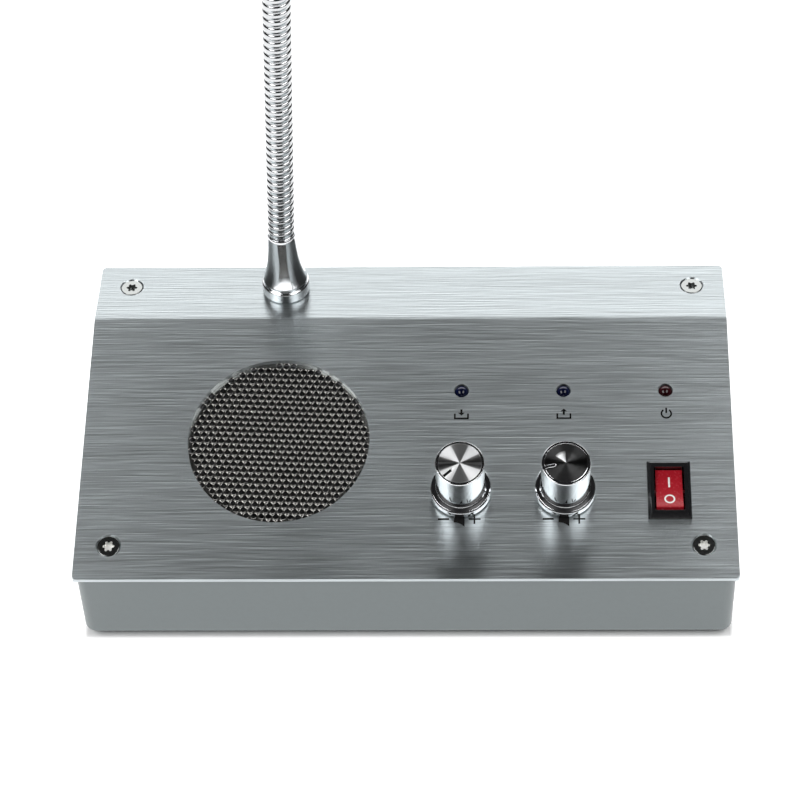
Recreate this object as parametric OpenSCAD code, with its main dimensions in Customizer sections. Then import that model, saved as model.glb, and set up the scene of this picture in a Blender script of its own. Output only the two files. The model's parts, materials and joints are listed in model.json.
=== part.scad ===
// Two-way window intercom, the desk unit on the clerk's side.
// A wedge-shaped sheet metal case carries a bent, brushed top plate with a
// loudspeaker behind a perforated disc, two level knobs, three indicator lamps
// and a rocker switch. A gooseneck microphone stands on the flat rear strip.
// X runs to the right, Y to the back, Z up. The origin is on the desk, under
// the middle of the case.

/* [Top plate] */
// Overall width of the top plate
plate_w = 226; // [210:1:260]
// Depth of the flat strip at the back
strip_d = 27; // [25:0.5:34]
// Length of the sloping panel, measured up the slope
slope_len = 102; // [100:0.5:120]
// Angle of the sloping panel
slope_angle = 16; // [14:0.5:18]
// Height of the panel's front edge above the desk
front_h = 32; // [31:0.5:45]
// Thickness of the top plate
plate_t = 2; // [1.6:0.1:2.5]
// Outer radius of the bend between panel and strip
bend_r = 6; // [4:0.5:10]
// Radius of the top plate's corners
plate_corner_r = 1.5; // [0.5:0.1:3]

/* [Lower case] */
// How far the case stands in from the plate's edge
case_inset = 0.8; // [0.6:0.1:1.2]
// Wall thickness of the case
case_wall = 1.5; // [1:0.1:2]
// Radius of the case's upright corners
case_corner_r = 4; // [3:0.5:4.5]
// Radius where the walls turn under into the floor
case_bottom_r = 2.5; // [2:0.1:3]
// Height of the rubber feet below the floor
foot_h = 2; // [1.5:0.1:4]
// Diameter of the rubber feet
foot_d = 13; // [10:0.5:16]
// Distance of the feet from the case's sides
foot_margin = 16; // [14:0.5:22]

/* [Cover screws] */
// Diameter of the screw shank
screw_d = 4; // [3:0.1:4]
// Diameter of the countersunk head
screw_head_d = 8; // [7:0.1:8.4]
// Length of the screw
screw_len = 10; // [8:0.5:12]
// Distance of the screws from the plate's side edges
screw_side = 11.6; // [11.4:0.1:13]
// Distance of the front screws up the slope
screw_front_v = 12.5; // [11:0.5:16]
// Distance of the rear screws from the back edge
screw_rear_y = 10.5; // [10.5:0.5:13]

/* [Loudspeaker] */
// Place of the grille across the panel
grille_u = -45; // [-47:0.5:-43]
// Place of the grille up the slope
grille_v = 53; // [51:0.5:56]
// Diameter of the round opening
grille_d = 63.4; // [60:0.1:64]
// Distance from hole to hole in the perforated disc
perf_pitch = 2.53; // [2.4:0.01:4]
// Diameter of the perforations
perf_d = 1.9; // [1.4:0.1:2]
// Turn of the hole pattern
perf_turn = -2.5; // [-5:0.5:5]
// Thickness of the perforated disc
grille_t = 0.8; // [0.6:0.1:1]
// Depth of the loudspeaker's basket
basket_h = 13; // [12:0.5:14]
// Diameter of the magnet
magnet_d = 32; // [28:0.5:34]
// Height of the magnet ring
magnet_h = 6; // [5:0.5:7]

/* [Controls] */
// Distance across the panel from one knob or lamp to the next
control_step = 35.8; // [34:0.1:36]
// Height of the knobs and the switch up the slope
knob_v = 33; // [31:0.5:35]
// Height of the lamps up the slope
lamp_v = 72.3; // [70:0.1:76]
// Diameter of the lamps
lamp_d = 5; // [3:0.1:5]
// Diameter of the knob's upper part
knob_d = 16.8; // [15:0.1:18]
// Diameter of the knob's foot flange
knob_flange_d = 20.9; // [19:0.1:24]
// Height of the foot flange
knob_flange_h = 3; // [2:0.1:4]
// Height of the knob
knob_h = 20.6; // [18:0.1:22]
// Gap between knob and panel
knob_gap = 0.8; // [0.5:0.1:1.5]
// Diameter of the control's shaft
shaft_d = 6; // [5:0.1:6]
// Angle of the left knob's pointer, clockwise from up the slope
in_pointer = 228; // [30:1:330]
// Angle of the right knob's pointer, clockwise from up the slope
out_pointer = 258; // [30:1:330]

/* [Rocker switch] */
// Distance of the switch and its lamp from the plate's right edge
switch_side = 22.8; // [22:0.1:25]
// Width of the bezel
bezel_w = 15; // [14.5:0.1:16]
// Length of the bezel up the slope
bezel_l = 22; // [21:0.1:23]
// Height of the bezel above the panel
bezel_h = 2; // [1.8:0.1:2.4]
// Width of the rocker
rocker_w = 9.3; // [8.5:0.1:9.6]
// Length of the rocker
rocker_l = 15.2; // [14:0.1:15.6]
// Tilt of the rocker to either side
rocker_tilt = 8; // [6:0.5:10]

/* [Gooseneck microphone] */
// Place of the gooseneck across the plate
neck_x = -45.2; // [-60:0.1:-40]
// Distance of the gooseneck from the back edge
neck_back = 11.3; // [11:0.1:14]
// Outside diameter of the gooseneck
neck_d = 9.6; // [9:0.1:10]
// Height of one turn of the gooseneck
turn_h = 2.9; // [2.6:0.1:3.2]
// Turns in one link of the gooseneck
link_turns = 12; // [8:1:14]
// Height of the collar
collar_h = 27; // [24:0.5:29]
// Diameter of the collar's foot
collar_d = 17; // [15:0.1:18]
// Lean of the gooseneck to the right
neck_lean = 3; // [0:0.5:4]
// Diameter of the microphone housing
mic_d = 13; // [12:0.5:15]
// Length of the microphone housing
mic_len = 32; // [28:1:40]

/* [Inside] */
// Thickness of the circuit boards
board_t = 1.6; // [1:0.1:2]
// Width of the main board
board_w = 96; // [94:1:100]
// Depth of the main board
board_d = 56; // [54:1:60]
// Height of the main board above the floor
board_lift = 6; // [5:0.5:8]

/* [Hidden] */

// Smoothness of true round forms, and of the forms blended by hull()
$fn = 64;
blend_fn = 32;

// Clearances
seat = 0.05;        // between faces that rest on each other
slip = 0.1;         // round a piece that passes through a hole
run = 0.05;         // radial, round a turning shaft or pin
swing = 0.2;        // round the end of the rocker
past = 1;           // how far a cutter runs past what it cuts

// The wedge
slope_run = slope_len * cos(slope_angle);
slope_rise = slope_len * sin(slope_angle);
body_d = slope_run + strip_d;
rear_h = front_h + slope_rise;
front_y = -body_d / 2;
back_y = body_d / 2;
bend_y = front_y + slope_run;
bend_start = bend_y + bend_r * tan(slope_angle / 2);

// The case
case_w = plate_w - 2 * case_inset;
case_d = body_d - 2 * case_inset;
floor_z = foot_h + case_wall;
wall_x = case_w / 2 - case_wall;
wall_y = case_d / 2 - case_wall;
foot_stem_d = 4.4;
foot_edge = 0.8;
foot_barb = 0.8;
foot_barb_h = 2.5;

// Cover screws
screw_u = plate_w / 2 - screw_side;
head_sink = 0.2;
sink_gap = 0.3;
bracket_t = 1.5;
bracket_w = 11;
bracket_leg = 13;
bracket_tab = 7.5;
bracket_clip = 3;
nut_across = 7;
nut_h = 3.2;
star_d = 3.9;
star_core_d = 2.8;
star_lobe_d = 0.9;
star_depth = 1.5;

// Loudspeaker: depths below the panel's outer face
speaker_rim = 1.6;  // hidden behind the plate's edge
speaker_r = grille_d / 2 + speaker_rim;
perf_cover = 0.35;  // share of a hole's width that the plate's edge may cover
grille_n = -plate_t - seat;
basket_n = grille_n - grille_t - seat;
basket_t = 0.8;
basket_step = 2.8;
basket_floor_in = 2;
basket_floor_r = magnet_d / 2 - basket_floor_in;
basket_hole_r = 11.5;
window_in = 8;
window_out = 22;
window_rise = 2;
window_rim = 3;
seat_ring_out = 2.3;
seat_out_r = speaker_r - seat_ring_out;
seat_ring_in = 5.3;
seat_in_r = speaker_r - seat_ring_in;
roll_r = 1.8;
surround_t = 0.4;
surround_n = basket_n - basket_step + seat;
cone_r = seat_in_r - 2 * roll_r;
cone_t = 0.5;
cone_n = surround_n - seat;
cone_lip = 1;
coil_r = 7;
coil_t = 0.5;
coil_gap = 0.4;
cone_foot_rise = 2.5;
cone_foot_n = basket_n - basket_h + cone_foot_rise;
dust_cap_out = 2;
dust_cap_r = coil_r + dust_cap_out;
dust_cap_t = 0.4;
dust_cap_h = 2.6;
pole_n = basket_n - basket_h;
pole_t = 3;
magnet_n = pole_n - pole_t - seat;
yoke_n = magnet_n - magnet_h - seat;
yoke_t = 3;
pole_inset = 1.5;
stud_out = 3;
stud_r = speaker_r + stud_out;
stud_d = 3;
stud_len = 6;
clamp_t = 1;
clamp_w = 8;
clamp_in = stud_r - seat_out_r - basket_t - sink_gap;
clamp_out = 4.5;
clamp_drop = grille_t + basket_t + 3 * seat;
clamp_n = -plate_t - clamp_drop - clamp_t;
speaker_nut_across = 5.5;
speaker_nut_h = 2.4;

// Lamps and front board: depths below the panel's outer face
switch_u = plate_w / 2 - switch_side;
lamp_hole_d = lamp_d + 2 * slip;
lamp_top_n = 0.6;
lamp_h = 8.6;
lamp_rim_w = 0.4;
lamp_rim_d = lamp_d + 2 * lamp_rim_w;
lamp_rim_h = 1;
control_body_h = 7;
control_body_w = 12;
control_body_l = 13;
control_body_r = 1.5;
control_board_n = -plate_t - seat - control_body_h - seat;
lamp_foot_n = lamp_top_n - lamp_h;
control_board_edge = 8;

// Controls
bush_wall = 0.7;
bush_d = shaft_d + 2 * bush_wall;
bush_top = 4;
washer_d = 11;
washer_t = 0.5;
control_nut_across = 10;
control_nut_h = 2;
knob_top = knob_gap + knob_h;
knob_round = 0.5;
knob_hollow_d = 14;
shaft_cover = 4;
shaft_below = 5;
shaft_top = knob_top - shaft_cover;
shaft_foot = -plate_t - shaft_below;
shaft_flat = 1.4;
shaft_flat_h = 8;
cap_rim = 0.95;
cap_d = knob_d - 2 * cap_rim;
cap_t = 1;
cap_groove = 0.35;
pointer_w = 0.9;
pointer_l = 3.4;

// Rocker switch
bezel_rim = 1.2;
rocker_side = 0.5;
opening_w = rocker_w + 2 * rocker_side;
pivot_n = -1.5;
rocker_end_n = 1.1;
rocker_dip = 0.5;
rocker_r = norm([rocker_l / 2, rocker_end_n - pivot_n]);
opening_l = 2 * (rocker_r + swing);
pin_d = 2;
bezel_side = 1;
bezel_end = 1.5;
switch_w = bezel_w - 2 * bezel_side;
switch_l = bezel_l - 2 * bezel_end;
switch_depth = 13;
switch_floor = 2;
bezel_edge = 0.6;
latch_out = 0.7;
latch_w = 4;
latch_l = 5;
pin_reach = 0.9;
rocker_foot = -5;
terminal_w = 4.8;
terminal_t = 0.8;
terminal_l = 8;
terminal_step = 7;

// Main board and sockets
board_side = 17.7;
board_x = wall_x - board_side - board_w / 2;
board_z = floor_z + board_lift;
board_gap = 0.5;
board_y = wall_y - board_d / 2 - board_gap;
part_z = board_z + board_t + seat;
pillar_in = 5;
pillar_across = 6;
board_screw_d = 3;
board_screw_head_d = 5.6;
board_screw_head_h = 1.8;
board_screw_reach = 4;
chip_left = 22;
chip_forward = 14;
chip_x = board_x - chip_left;
chip_y = board_y - chip_forward;
chip_w = 20;
chip_d = 4;
chip_h = 12;
sink_w = 26;
sink_h = 15;
sink_t = 2.5;
fin_t = 1.2;
fin_l = 9;
fins = 6;
can_d = 9;
can_h = 13;
can_top = 0.6;
can_step = 12;
header_w = 10;
header_d = 5;
header_h = 7;
header_wall = 1;
header_step = 14;
jack_d = 3.6;
jack_nose_d = 6;
jack_w = 9;
jack_l = 14;
jack_h = 7;
jack_depth = 12;
power_w = 10;
power_h = 11;
power_nose_d = 8;
power_bore_d = 6;
power_pin_d = 2;
power_depth = 9;
socket_step = 32;
sub_unit_x = board_x;
record_x = sub_unit_x - socket_step;
power_x = sub_unit_x + socket_step;

// Gooseneck
neck_y = back_y - neck_back;
neck_bore_d = 3.2;
neck_stud_d = 10;
neck_stud_l = 11;
neck_nut_across = 14;
neck_nut_h = 4;
collar_lip_h = 4.4;
collar_edge = 0.4;
collar_groove_h = 1.2;
collar_groove_in = 1;
collar_waist_in = 0.5;
mouth_wall = 0.5;
mouth_edge = 0.3;
ferrule_wall = 0.6;
ferrule_taper = 0.2;
ferrule_edge = 0.4;
ferrule_cone_h = 3;
ferrule_rim_h = 1;
links = 8;
link_h = turn_h * link_turns;
turn_gap = 0.8;
turn_depth = 0.55;
turn_round = 0.22;
ball_r = 3.4;
link_gap = 1.15;
mic_z = links * link_h - link_gap + seat;
mic_wall = 1.2;
mic_ferrule_h = 9;
mic_body_z = mic_z + mic_ferrule_h + seat;
mic_bore_d = mic_d - 2 * mic_wall;
mic_slots = 10;
mic_slot_w = 1.4;
mic_slot_h = 9;
mic_slot_top = 4;
mic_plug_h = 1.5;
mic_lip_h = 1.2;
mic_holes = 8;
mic_hole_d = 1.4;
capsule_d = 9.7;
capsule_h = 6.7;
sleeve_h = 5.2;

// ---- frames and shapes shared by several pieces ----

// Puts its children on the sloping panel: u across, v up the slope, n out of it
module on_slope(u = 0, v = 0, n = 0) {
    translate([0, front_y, front_h])
        rotate([slope_angle, 0, 0])
            translate([u, v, n])
                children();
}

// Place across the panel of the three columns of controls, counted from the left
function control_u(i) = switch_u - (2 - i) * control_step;

// Puts its children at each of the four cover screws, Z out of the plate
module at_cover_screws() {
    for (side = [-1, 1]) {
        on_slope(side * screw_u, screw_front_v)
            children();
        translate([side * screw_u, back_y - screw_rear_y, rear_h])
            children();
    }
}

module at_speaker_studs() {
    on_slope(grille_u, grille_v)
        for (turn = [45:90:315])
            rotate(turn)
                translate([stud_r, 0, 0])
                    children();
}

module rounded_rect(w, d, r) {
    square([w - 2 * r, d], center = true);
    square([w, d - 2 * r], center = true);
    for (x = [-1, 1], y = [-1, 1])
        translate([x * (w / 2 - r), y * (d / 2 - r)])
            circle(r);
}

// Upright slot with round ends, standing on the origin
module rounded_slot(w, h) {
    translate([-w / 2, w / 2])
        square([w, h - w]);
    for (y = [w / 2, h - w / 2])
        translate([0, y])
            circle(d = w);
}

module tube(d, bore, h) {
    difference() {
        cylinder(d = d, h = h);
        translate([0, 0, -past])
            cylinder(d = bore, h = h + 2 * past);
    }
}

module hex_tube(across, bore, h) {
    difference() {
        cylinder(d = across / cos(30), h = h, $fn = 6);
        translate([0, 0, -past])
            cylinder(d = bore, h = h + 2 * past);
    }
}

// Points of the bend between panel and strip, at radius r
function bend_arc(r, steps = 6) = [
    for (i = [0:steps])
        let (turn = slope_angle * (1 - i / steps))
            [bend_start - r * sin(turn), rear_h - bend_r + r * cos(turn)]
];

// Side view of everything that lies deeper than depth below the plate's outer face,
// from y = front to y = back
module side_view(depth, front, back) {
    slope_start = [front_y + depth * sin(slope_angle), front_h - depth * cos(slope_angle)];
    reach = (slope_start[0] - front) * tan(slope_angle);
    polygon(concat(
        [[front, 0], [front, slope_start[1] - reach]],
        bend_arc(bend_r - depth),
        [[back, rear_h - depth], [back, 0]]));
}

module along_x(w) {
    rotate([90, 0, 90])
        translate([0, 0, -w / 2])
            linear_extrude(w)
                children();
}

// ---- sheet metal case ----

module top_plate() {
    sunk_r = screw_head_d / 2 + sink_gap;
    hole_r = sunk_r - plate_t;
    color([0.56, 0.59, 0.60])
    difference() {
        intersection() {
            along_x(plate_w)
                plate_section();
            linear_extrude(rear_h + past)
                rounded_rect(plate_w, body_d, plate_corner_r);
        }
        at_cover_screws()
            translate([0, 0, -plate_t]) {
                cylinder(r1 = hole_r, r2 = sunk_r, h = plate_t);
                translate([0, 0, -past])
                    cylinder(r = hole_r, h = plate_t);
                translate([0, 0, plate_t])
                    cylinder(r = sunk_r, h = past);
            }
        on_slope(grille_u, grille_v, -plate_t - past)
            cylinder(d = grille_d, h = plate_t + 2 * past);
        for (i = [0:2])
            on_slope(control_u(i), lamp_v, -plate_t - past)
                cylinder(d = lamp_hole_d, h = plate_t + 2 * past);
        for (i = [0:1])
            on_slope(control_u(i), knob_v, -plate_t - past)
                cylinder(d = bush_d + 2 * slip, h = plate_t + 2 * past);
        on_slope(switch_u, knob_v)
            cube([switch_w + 2 * slip, switch_l + 2 * slip, 3 * plate_t], center = true);
        translate([neck_x, neck_y, rear_h - plate_t - past])
            cylinder(d = neck_stud_d + 2 * slip, h = plate_t + 2 * past);
    }
}

// The bent plate seen from the side; its front edge is cut square to the slope
module plate_section() {
    front_edge = [front_y, front_h];
    square_cut = plate_t * [sin(slope_angle), -cos(slope_angle)];
    inner_arc = bend_arc(bend_r - plate_t);
    polygon(concat(
        [front_edge],
        bend_arc(bend_r),
        [[back_y, rear_h], [back_y, rear_h - plate_t]],
        [for (i = [len(inner_arc) - 1:-1:0]) inner_arc[i]],
        [front_edge + square_cut]));
}

module lower_case() {
    color([0.50, 0.53, 0.53])
    difference() {
        intersection() {
            case_block();
            along_x(case_w + 2 * past)
                side_view(plate_t + seat, -case_d / 2 - past, case_d / 2 + past);
        }
        translate([0, 0, floor_z])
            linear_extrude(rear_h)
                rounded_rect(2 * wall_x, 2 * wall_y, case_corner_r - case_wall);
        at_feet()
            cylinder(d = foot_stem_d, h = floor_z + past);
        socket_holes();
    }
}

// The outside of the tray, with upright corners and a rolled lower edge
module case_block() {
    hull()
        for (x = [-1, 1], y = [-1, 1])
            translate([x * (case_w / 2 - case_corner_r), y * (case_d / 2 - case_corner_r), foot_h])
                rotate_extrude($fn = blend_fn) {
                    square([case_corner_r - case_bottom_r, rear_h]);
                    translate([0, case_bottom_r])
                        square([case_corner_r, rear_h - case_bottom_r]);
                    translate([case_corner_r - case_bottom_r, case_bottom_r])
                        intersection() {
                            circle(case_bottom_r, $fn = blend_fn);
                            translate([0, -case_bottom_r])
                                square(case_bottom_r);
                        }
                }
}

module at_feet() {
    for (x = [-1, 1], y = [-1, 1])
        translate([x * (case_w / 2 - foot_margin), y * (case_d / 2 - foot_margin), 0])
            children();
}

module socket_holes() {
    for (x = [sub_unit_x, record_x])
        translate([x, wall_y - past, part_z + jack_h / 2])
            rotate([-90, 0, 0])
                cylinder(d = jack_nose_d + 2 * slip, h = case_wall + 2 * past);
    translate([power_x, wall_y - past, part_z + power_h / 2])
        rotate([-90, 0, 0])
            cylinder(d = power_nose_d + 2 * slip, h = case_wall + 2 * past);
}

// Push-in feet: a disc below the floor, a stem through it and a barb above
module rubber_feet() {
    r = foot_d / 2;
    stem_r = foot_stem_d / 2 - slip;
    barb_z = floor_z + seat;
    color([0.07, 0.07, 0.07])
    at_feet()
        rotate_extrude()
            polygon([
                [0, 0], [r - foot_edge, 0], [r, foot_edge], [r, foot_h - seat],
                [stem_r, foot_h - seat], [stem_r, barb_z], [stem_r + foot_barb, barb_z],
                [stem_r - foot_barb / 2, barb_z + foot_barb_h], [0, barb_z + foot_barb_h]]);
}

// Folded tabs on the side walls that carry the nuts for the cover screws
module corner_brackets() {
    top_n = -plate_t - seat;
    leg_x = wall_x - seat - screw_u;
    color([0.62, 0.64, 0.65])
    for (side = [-1, 1]) {
        on_slope(side * screw_u, screw_front_v)
            facing(side)
                bracket(top_n, leg_x);
        translate([side * screw_u, back_y - screw_rear_y, rear_h])
            facing(side)
                bracket(top_n, leg_x);
    }
}

// Mirrors a piece that is drawn for the right side when it is on the left
module facing(side) {
    if (side > 0)
        children();
    else
        mirror([1, 0, 0])
            children();
}

module bracket(top_n, leg_x) {
    half = bracket_w / 2;
    clip = bracket_clip;
    difference() {
        union() {
            translate([0, 0, top_n - bracket_t])
                linear_extrude(bracket_t)
                    polygon([
                        [leg_x, -half], [leg_x, half], [clip - bracket_tab, half],
                        [-bracket_tab, half - clip], [-bracket_tab, clip - half],
                        [clip - bracket_tab, -half]]);
            translate([leg_x - bracket_t, 0, top_n])
                rotate([90, 0, 90])
                    linear_extrude(bracket_t)
                        polygon([
                            [-half, 0], [half, 0], [half, clip - bracket_leg],
                            [half - clip, -bracket_leg], [clip - half, -bracket_leg],
                            [-half, clip - bracket_leg]]);
        }
        translate([0, 0, top_n - bracket_t - past])
            cylinder(d = screw_d + 2 * sink_gap, h = bracket_t + 2 * past);
    }
}

module bracket_nuts() {
    color([0.70, 0.70, 0.68])
    at_cover_screws()
        translate([0, 0, -plate_t - 2 * seat - bracket_t - nut_h])
            hex_tube(nut_across, screw_d + 2 * run, nut_h);
}

// Countersunk screws with a six-lobe recess
module cover_screws() {
    head_h = (screw_head_d - screw_d) / 2;
    lobe_at = (star_d - star_lobe_d) / 2;
    color([0.78, 0.78, 0.76])
    at_cover_screws()
        translate([0, 0, -head_sink])
            difference() {
                union() {
                    translate([0, 0, -head_h])
                        cylinder(d1 = screw_d, d2 = screw_head_d, h = head_h);
                    translate([0, 0, -screw_len])
                        cylinder(d = screw_d, h = screw_len - head_h + seat);
                }
                translate([0, 0, -star_depth]) {
                    cylinder(d = star_core_d, h = star_depth + past);
                    for (lobe = [0:5])
                        rotate(lobe * 60)
                            translate([lobe_at, 0, 0])
                                cylinder(d = star_lobe_d, h = star_depth + past);
                }
            }
}

// ---- loudspeaker ----

module at_speaker(n = 0) {
    on_slope(grille_u, grille_v, n)
        children();
}

// Perforated disc behind the round opening, its holes on a grid of equal triangles.
// Holes that the plate's edge would mostly cover are left out.
module speaker_grille() {
    row_h = perf_pitch * sqrt(3) / 2;
    rows = ceil(grille_d / 2 / row_h);
    cols = ceil(grille_d / 2 / perf_pitch) + 1;
    reach = grille_d / 2 - perf_d * perf_cover;
    color([0.35, 0.35, 0.34])
    at_speaker(grille_n - grille_t)
        linear_extrude(grille_t)
            difference() {
                circle(speaker_r);
                rotate(perf_turn)
                    for (j = [-rows:rows], i = [-cols:cols])
                        let (x = (i + (j % 2 == 0 ? 0 : 0.5)) * perf_pitch, y = j * row_h)
                            if (norm([x, y]) < reach)
                                translate([x, y])
                                    circle(d = perf_d);
            }
}

// Pressed basket: a rim, a step that carries the surround, a cone with four windows
module speaker_basket() {
    wall = basket_t;
    window_foot = window_rise - basket_h;
    window_h = basket_h - basket_step - window_rise - window_rim;
    color([0.24, 0.25, 0.26])
    at_speaker(basket_n)
        difference() {
            rotate_extrude()
                polygon([
                    [seat_out_r, 0], [speaker_r, 0], [speaker_r, -wall], [seat_out_r + wall, -wall],
                    [seat_out_r + wall, -basket_step - wall], [seat_in_r + wall, -basket_step - wall],
                    [basket_floor_r + wall, -basket_h], [basket_hole_r, -basket_h],
                    [basket_hole_r, -basket_h + wall], [basket_floor_r, -basket_h + wall],
                    [seat_in_r, -basket_step - wall], [seat_in_r, -basket_step],
                    [seat_out_r, -basket_step]]);
            for (turn = [0:90:270])
                rotate(turn)
                    translate([0, 0, window_foot])
                        linear_extrude(window_h)
                            polygon([
                                [basket_hole_r, -window_in / 2], [seat_in_r, -window_out / 2],
                                [speaker_r, -window_out / 2], [speaker_r, window_out / 2],
                                [seat_in_r, window_out / 2], [basket_hole_r, window_in / 2]]);
        }
}

// Straight-sided paper cone from the surround down to the voice coil
module speaker_cone() {
    foot_r = coil_r + slip;
    color([0.13, 0.13, 0.13])
    at_speaker()
        rotate_extrude()
            polygon([
                [foot_r, cone_foot_n], [foot_r, cone_foot_n - cone_t],
                [cone_r, cone_n - cone_t], [cone_r, cone_n], [cone_r - cone_lip, cone_n]]);
}

// Flat outer rim, half-round roll and flat inner lip on the cone
module speaker_surround() {
    roll_mid = seat_in_r - roll_r;
    color([0.09, 0.09, 0.10])
    at_speaker(surround_n)
        rotate_extrude() {
            translate([seat_in_r - surround_t, 0])
                square([seat_out_r - seat_in_r + surround_t - slip, surround_t]);
            translate([cone_r - cone_lip, 0])
                square([cone_lip + surround_t, surround_t]);
            intersection() {
                difference() {
                    translate([roll_mid, 0])
                        circle(roll_r);
                    translate([roll_mid, 0])
                        circle(roll_r - surround_t);
                }
                translate([roll_mid - roll_r, 0])
                    square([2 * roll_r, roll_r + past]);
            }
        }
}

// Domed cap that closes the middle of the cone
module speaker_dust_cap() {
    ball = (dust_cap_r * dust_cap_r + dust_cap_h * dust_cap_h) / (2 * dust_cap_h);
    cone_slope = (cone_n - cone_foot_n) / (cone_r - cone_lip - coil_r - slip);
    foot = cone_foot_n + (dust_cap_r - coil_r - slip) * cone_slope;
    color([0.10, 0.10, 0.11])
    at_speaker(foot + seat)
        rotate_extrude()
            intersection() {
                difference() {
                    translate([0, dust_cap_h - ball])
                        circle(ball);
                    translate([0, dust_cap_h - ball])
                        circle(ball - dust_cap_t);
                }
                square([dust_cap_r, dust_cap_h + past]);
            }
}

// Thin former from the foot of the cone into the magnet's gap
module voice_coil() {
    coil_foot = pole_n - pole_t;
    color([0.70, 0.42, 0.22])
    at_speaker(coil_foot)
        tube(2 * coil_r, 2 * (coil_r - coil_t), cone_foot_n - coil_foot);
}

module speaker_front_pole() {
    color([0.66, 0.66, 0.62])
    at_speaker(pole_n - pole_t)
        tube(magnet_d - 2 * pole_inset, 2 * (coil_r + coil_gap), pole_t - seat);
}

module speaker_magnet() {
    color([0.20, 0.20, 0.21])
    at_speaker(magnet_n - magnet_h)
        tube(magnet_d, 2 * dust_cap_r, magnet_h);
}

module speaker_yoke() {
    color([0.66, 0.66, 0.62])
    at_speaker(yoke_n - yoke_t) {
        cylinder(d = magnet_d - 2 * pole_inset, h = yoke_t);
        cylinder(r = coil_r - coil_t - coil_gap, h = pole_n - yoke_n + yoke_t);
    }
}

module speaker_studs() {
    color([0.70, 0.70, 0.68])
    at_speaker_studs()
        translate([0, 0, -plate_t - seat - stud_len])
            cylinder(d = stud_d, h = stud_len);
}

// Bent clips that press the basket's rim and the disc against the plate
module speaker_clamps() {
    color([0.62, 0.64, 0.65])
    at_speaker_studs()
        difference() {
            translate([0, 0, clamp_n]) {
                translate([-clamp_in, -clamp_w / 2, 0])
                    cube([clamp_in + clamp_out, clamp_w, clamp_t]);
                translate([clamp_out - clamp_t, -clamp_w / 2, 0])
                    cube([clamp_t, clamp_w, clamp_t + clamp_drop - seat]);
            }
            translate([0, 0, clamp_n - past])
                cylinder(d = stud_d + 2 * slip, h = clamp_t + 2 * past);
        }
}

module speaker_nuts() {
    color([0.70, 0.70, 0.68])
    at_speaker_studs()
        translate([0, 0, clamp_n - seat - speaker_nut_h])
            hex_tube(speaker_nut_across, stud_d + 2 * run, speaker_nut_h);
}

// ---- lamps, controls and knobs ----

module lamp(i, tint) {
    r = lamp_d / 2;
    color(tint)
    on_slope(control_u(i), lamp_v, lamp_foot_n)
        rotate_extrude() {
            square([lamp_rim_d / 2, lamp_rim_h]);
            square([r, lamp_h - r]);
            intersection() {
                translate([0, lamp_h - r])
                    circle(r);
                square([r, lamp_h]);
            }
        }
}

module in_lamp() { lamp(0, [0.04, 0.07, 0.30]); }
module out_lamp() { lamp(1, [0.04, 0.07, 0.30]); }
module power_lamp() { lamp(2, [0.30, 0.02, 0.05]); }

// Collars that hold the lamps off the front board
module lamp_spacers() {
    foot = control_board_n + seat;
    color([0.08, 0.08, 0.08])
    for (i = [0:2])
        on_slope(control_u(i), lamp_v, foot)
            cylinder(d = lamp_rim_d, h = lamp_foot_n - foot - seat);
}

// Board behind the panel that carries controls and lamps, with a wing for the power lamp
module control_board() {
    edge = control_board_edge;
    left = control_u(0) - edge;
    right = control_u(1) + edge;
    wing = control_u(2) + edge;
    color([0.05, 0.30, 0.14])
    on_slope(0, 0, control_board_n - board_t)
        linear_extrude(board_t)
            polygon([
                [left, knob_v - edge], [right, knob_v - edge], [right, lamp_v - edge],
                [wing, lamp_v - edge], [wing, lamp_v + edge], [left, lamp_v + edge]]);
}

// Rotary control: a sealed body with a threaded bush for the shaft
module control_body(i) {
    bush_h = control_body_h + plate_t + bush_top;
    color([0.30, 0.32, 0.36])
    on_slope(control_u(i), knob_v, -plate_t - seat - control_body_h)
        difference() {
            union() {
                linear_extrude(control_body_h)
                    rounded_rect(control_body_w, control_body_l, control_body_r);
                cylinder(d = bush_d, h = bush_h);
            }
            translate([0, 0, shaft_foot + plate_t + control_body_h])
                cylinder(d = shaft_d + 2 * run, h = bush_h + past);
        }
}

module in_control_body() { control_body(0); }
module out_control_body() { control_body(1); }

module control_washers() {
    color([0.72, 0.72, 0.70])
    for (i = [0:1])
        on_slope(control_u(i), knob_v, seat)
            tube(washer_d, bush_d + 2 * slip, washer_t);
}

module control_nuts() {
    color([0.76, 0.74, 0.66])
    for (i = [0:1])
        on_slope(control_u(i), knob_v, washer_t + 2 * seat)
            hex_tube(control_nut_across, bush_d + 2 * run, control_nut_h);
}

module shaft_outline(grow = 0) {
    difference() {
        circle(d = shaft_d + 2 * grow);
        translate([-shaft_d, shaft_d / 2 - shaft_flat + grow])
            square(2 * shaft_d);
    }
}

// Shaft with a flat on its upper end that drives the knob
module control_shaft(i, pointer) {
    color([0.80, 0.80, 0.78])
    on_slope(control_u(i), knob_v)
        rotate(-pointer) {
            translate([0, 0, shaft_foot + seat])
                cylinder(d = shaft_d, h = shaft_top - shaft_flat_h - shaft_foot - seat);
            translate([0, 0, shaft_top - shaft_flat_h - seat])
                linear_extrude(shaft_flat_h + seat)
                    shaft_outline();
        }
}

module in_control_shaft() { control_shaft(0, in_pointer); }
module out_control_shaft() { control_shaft(1, out_pointer); }

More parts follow.
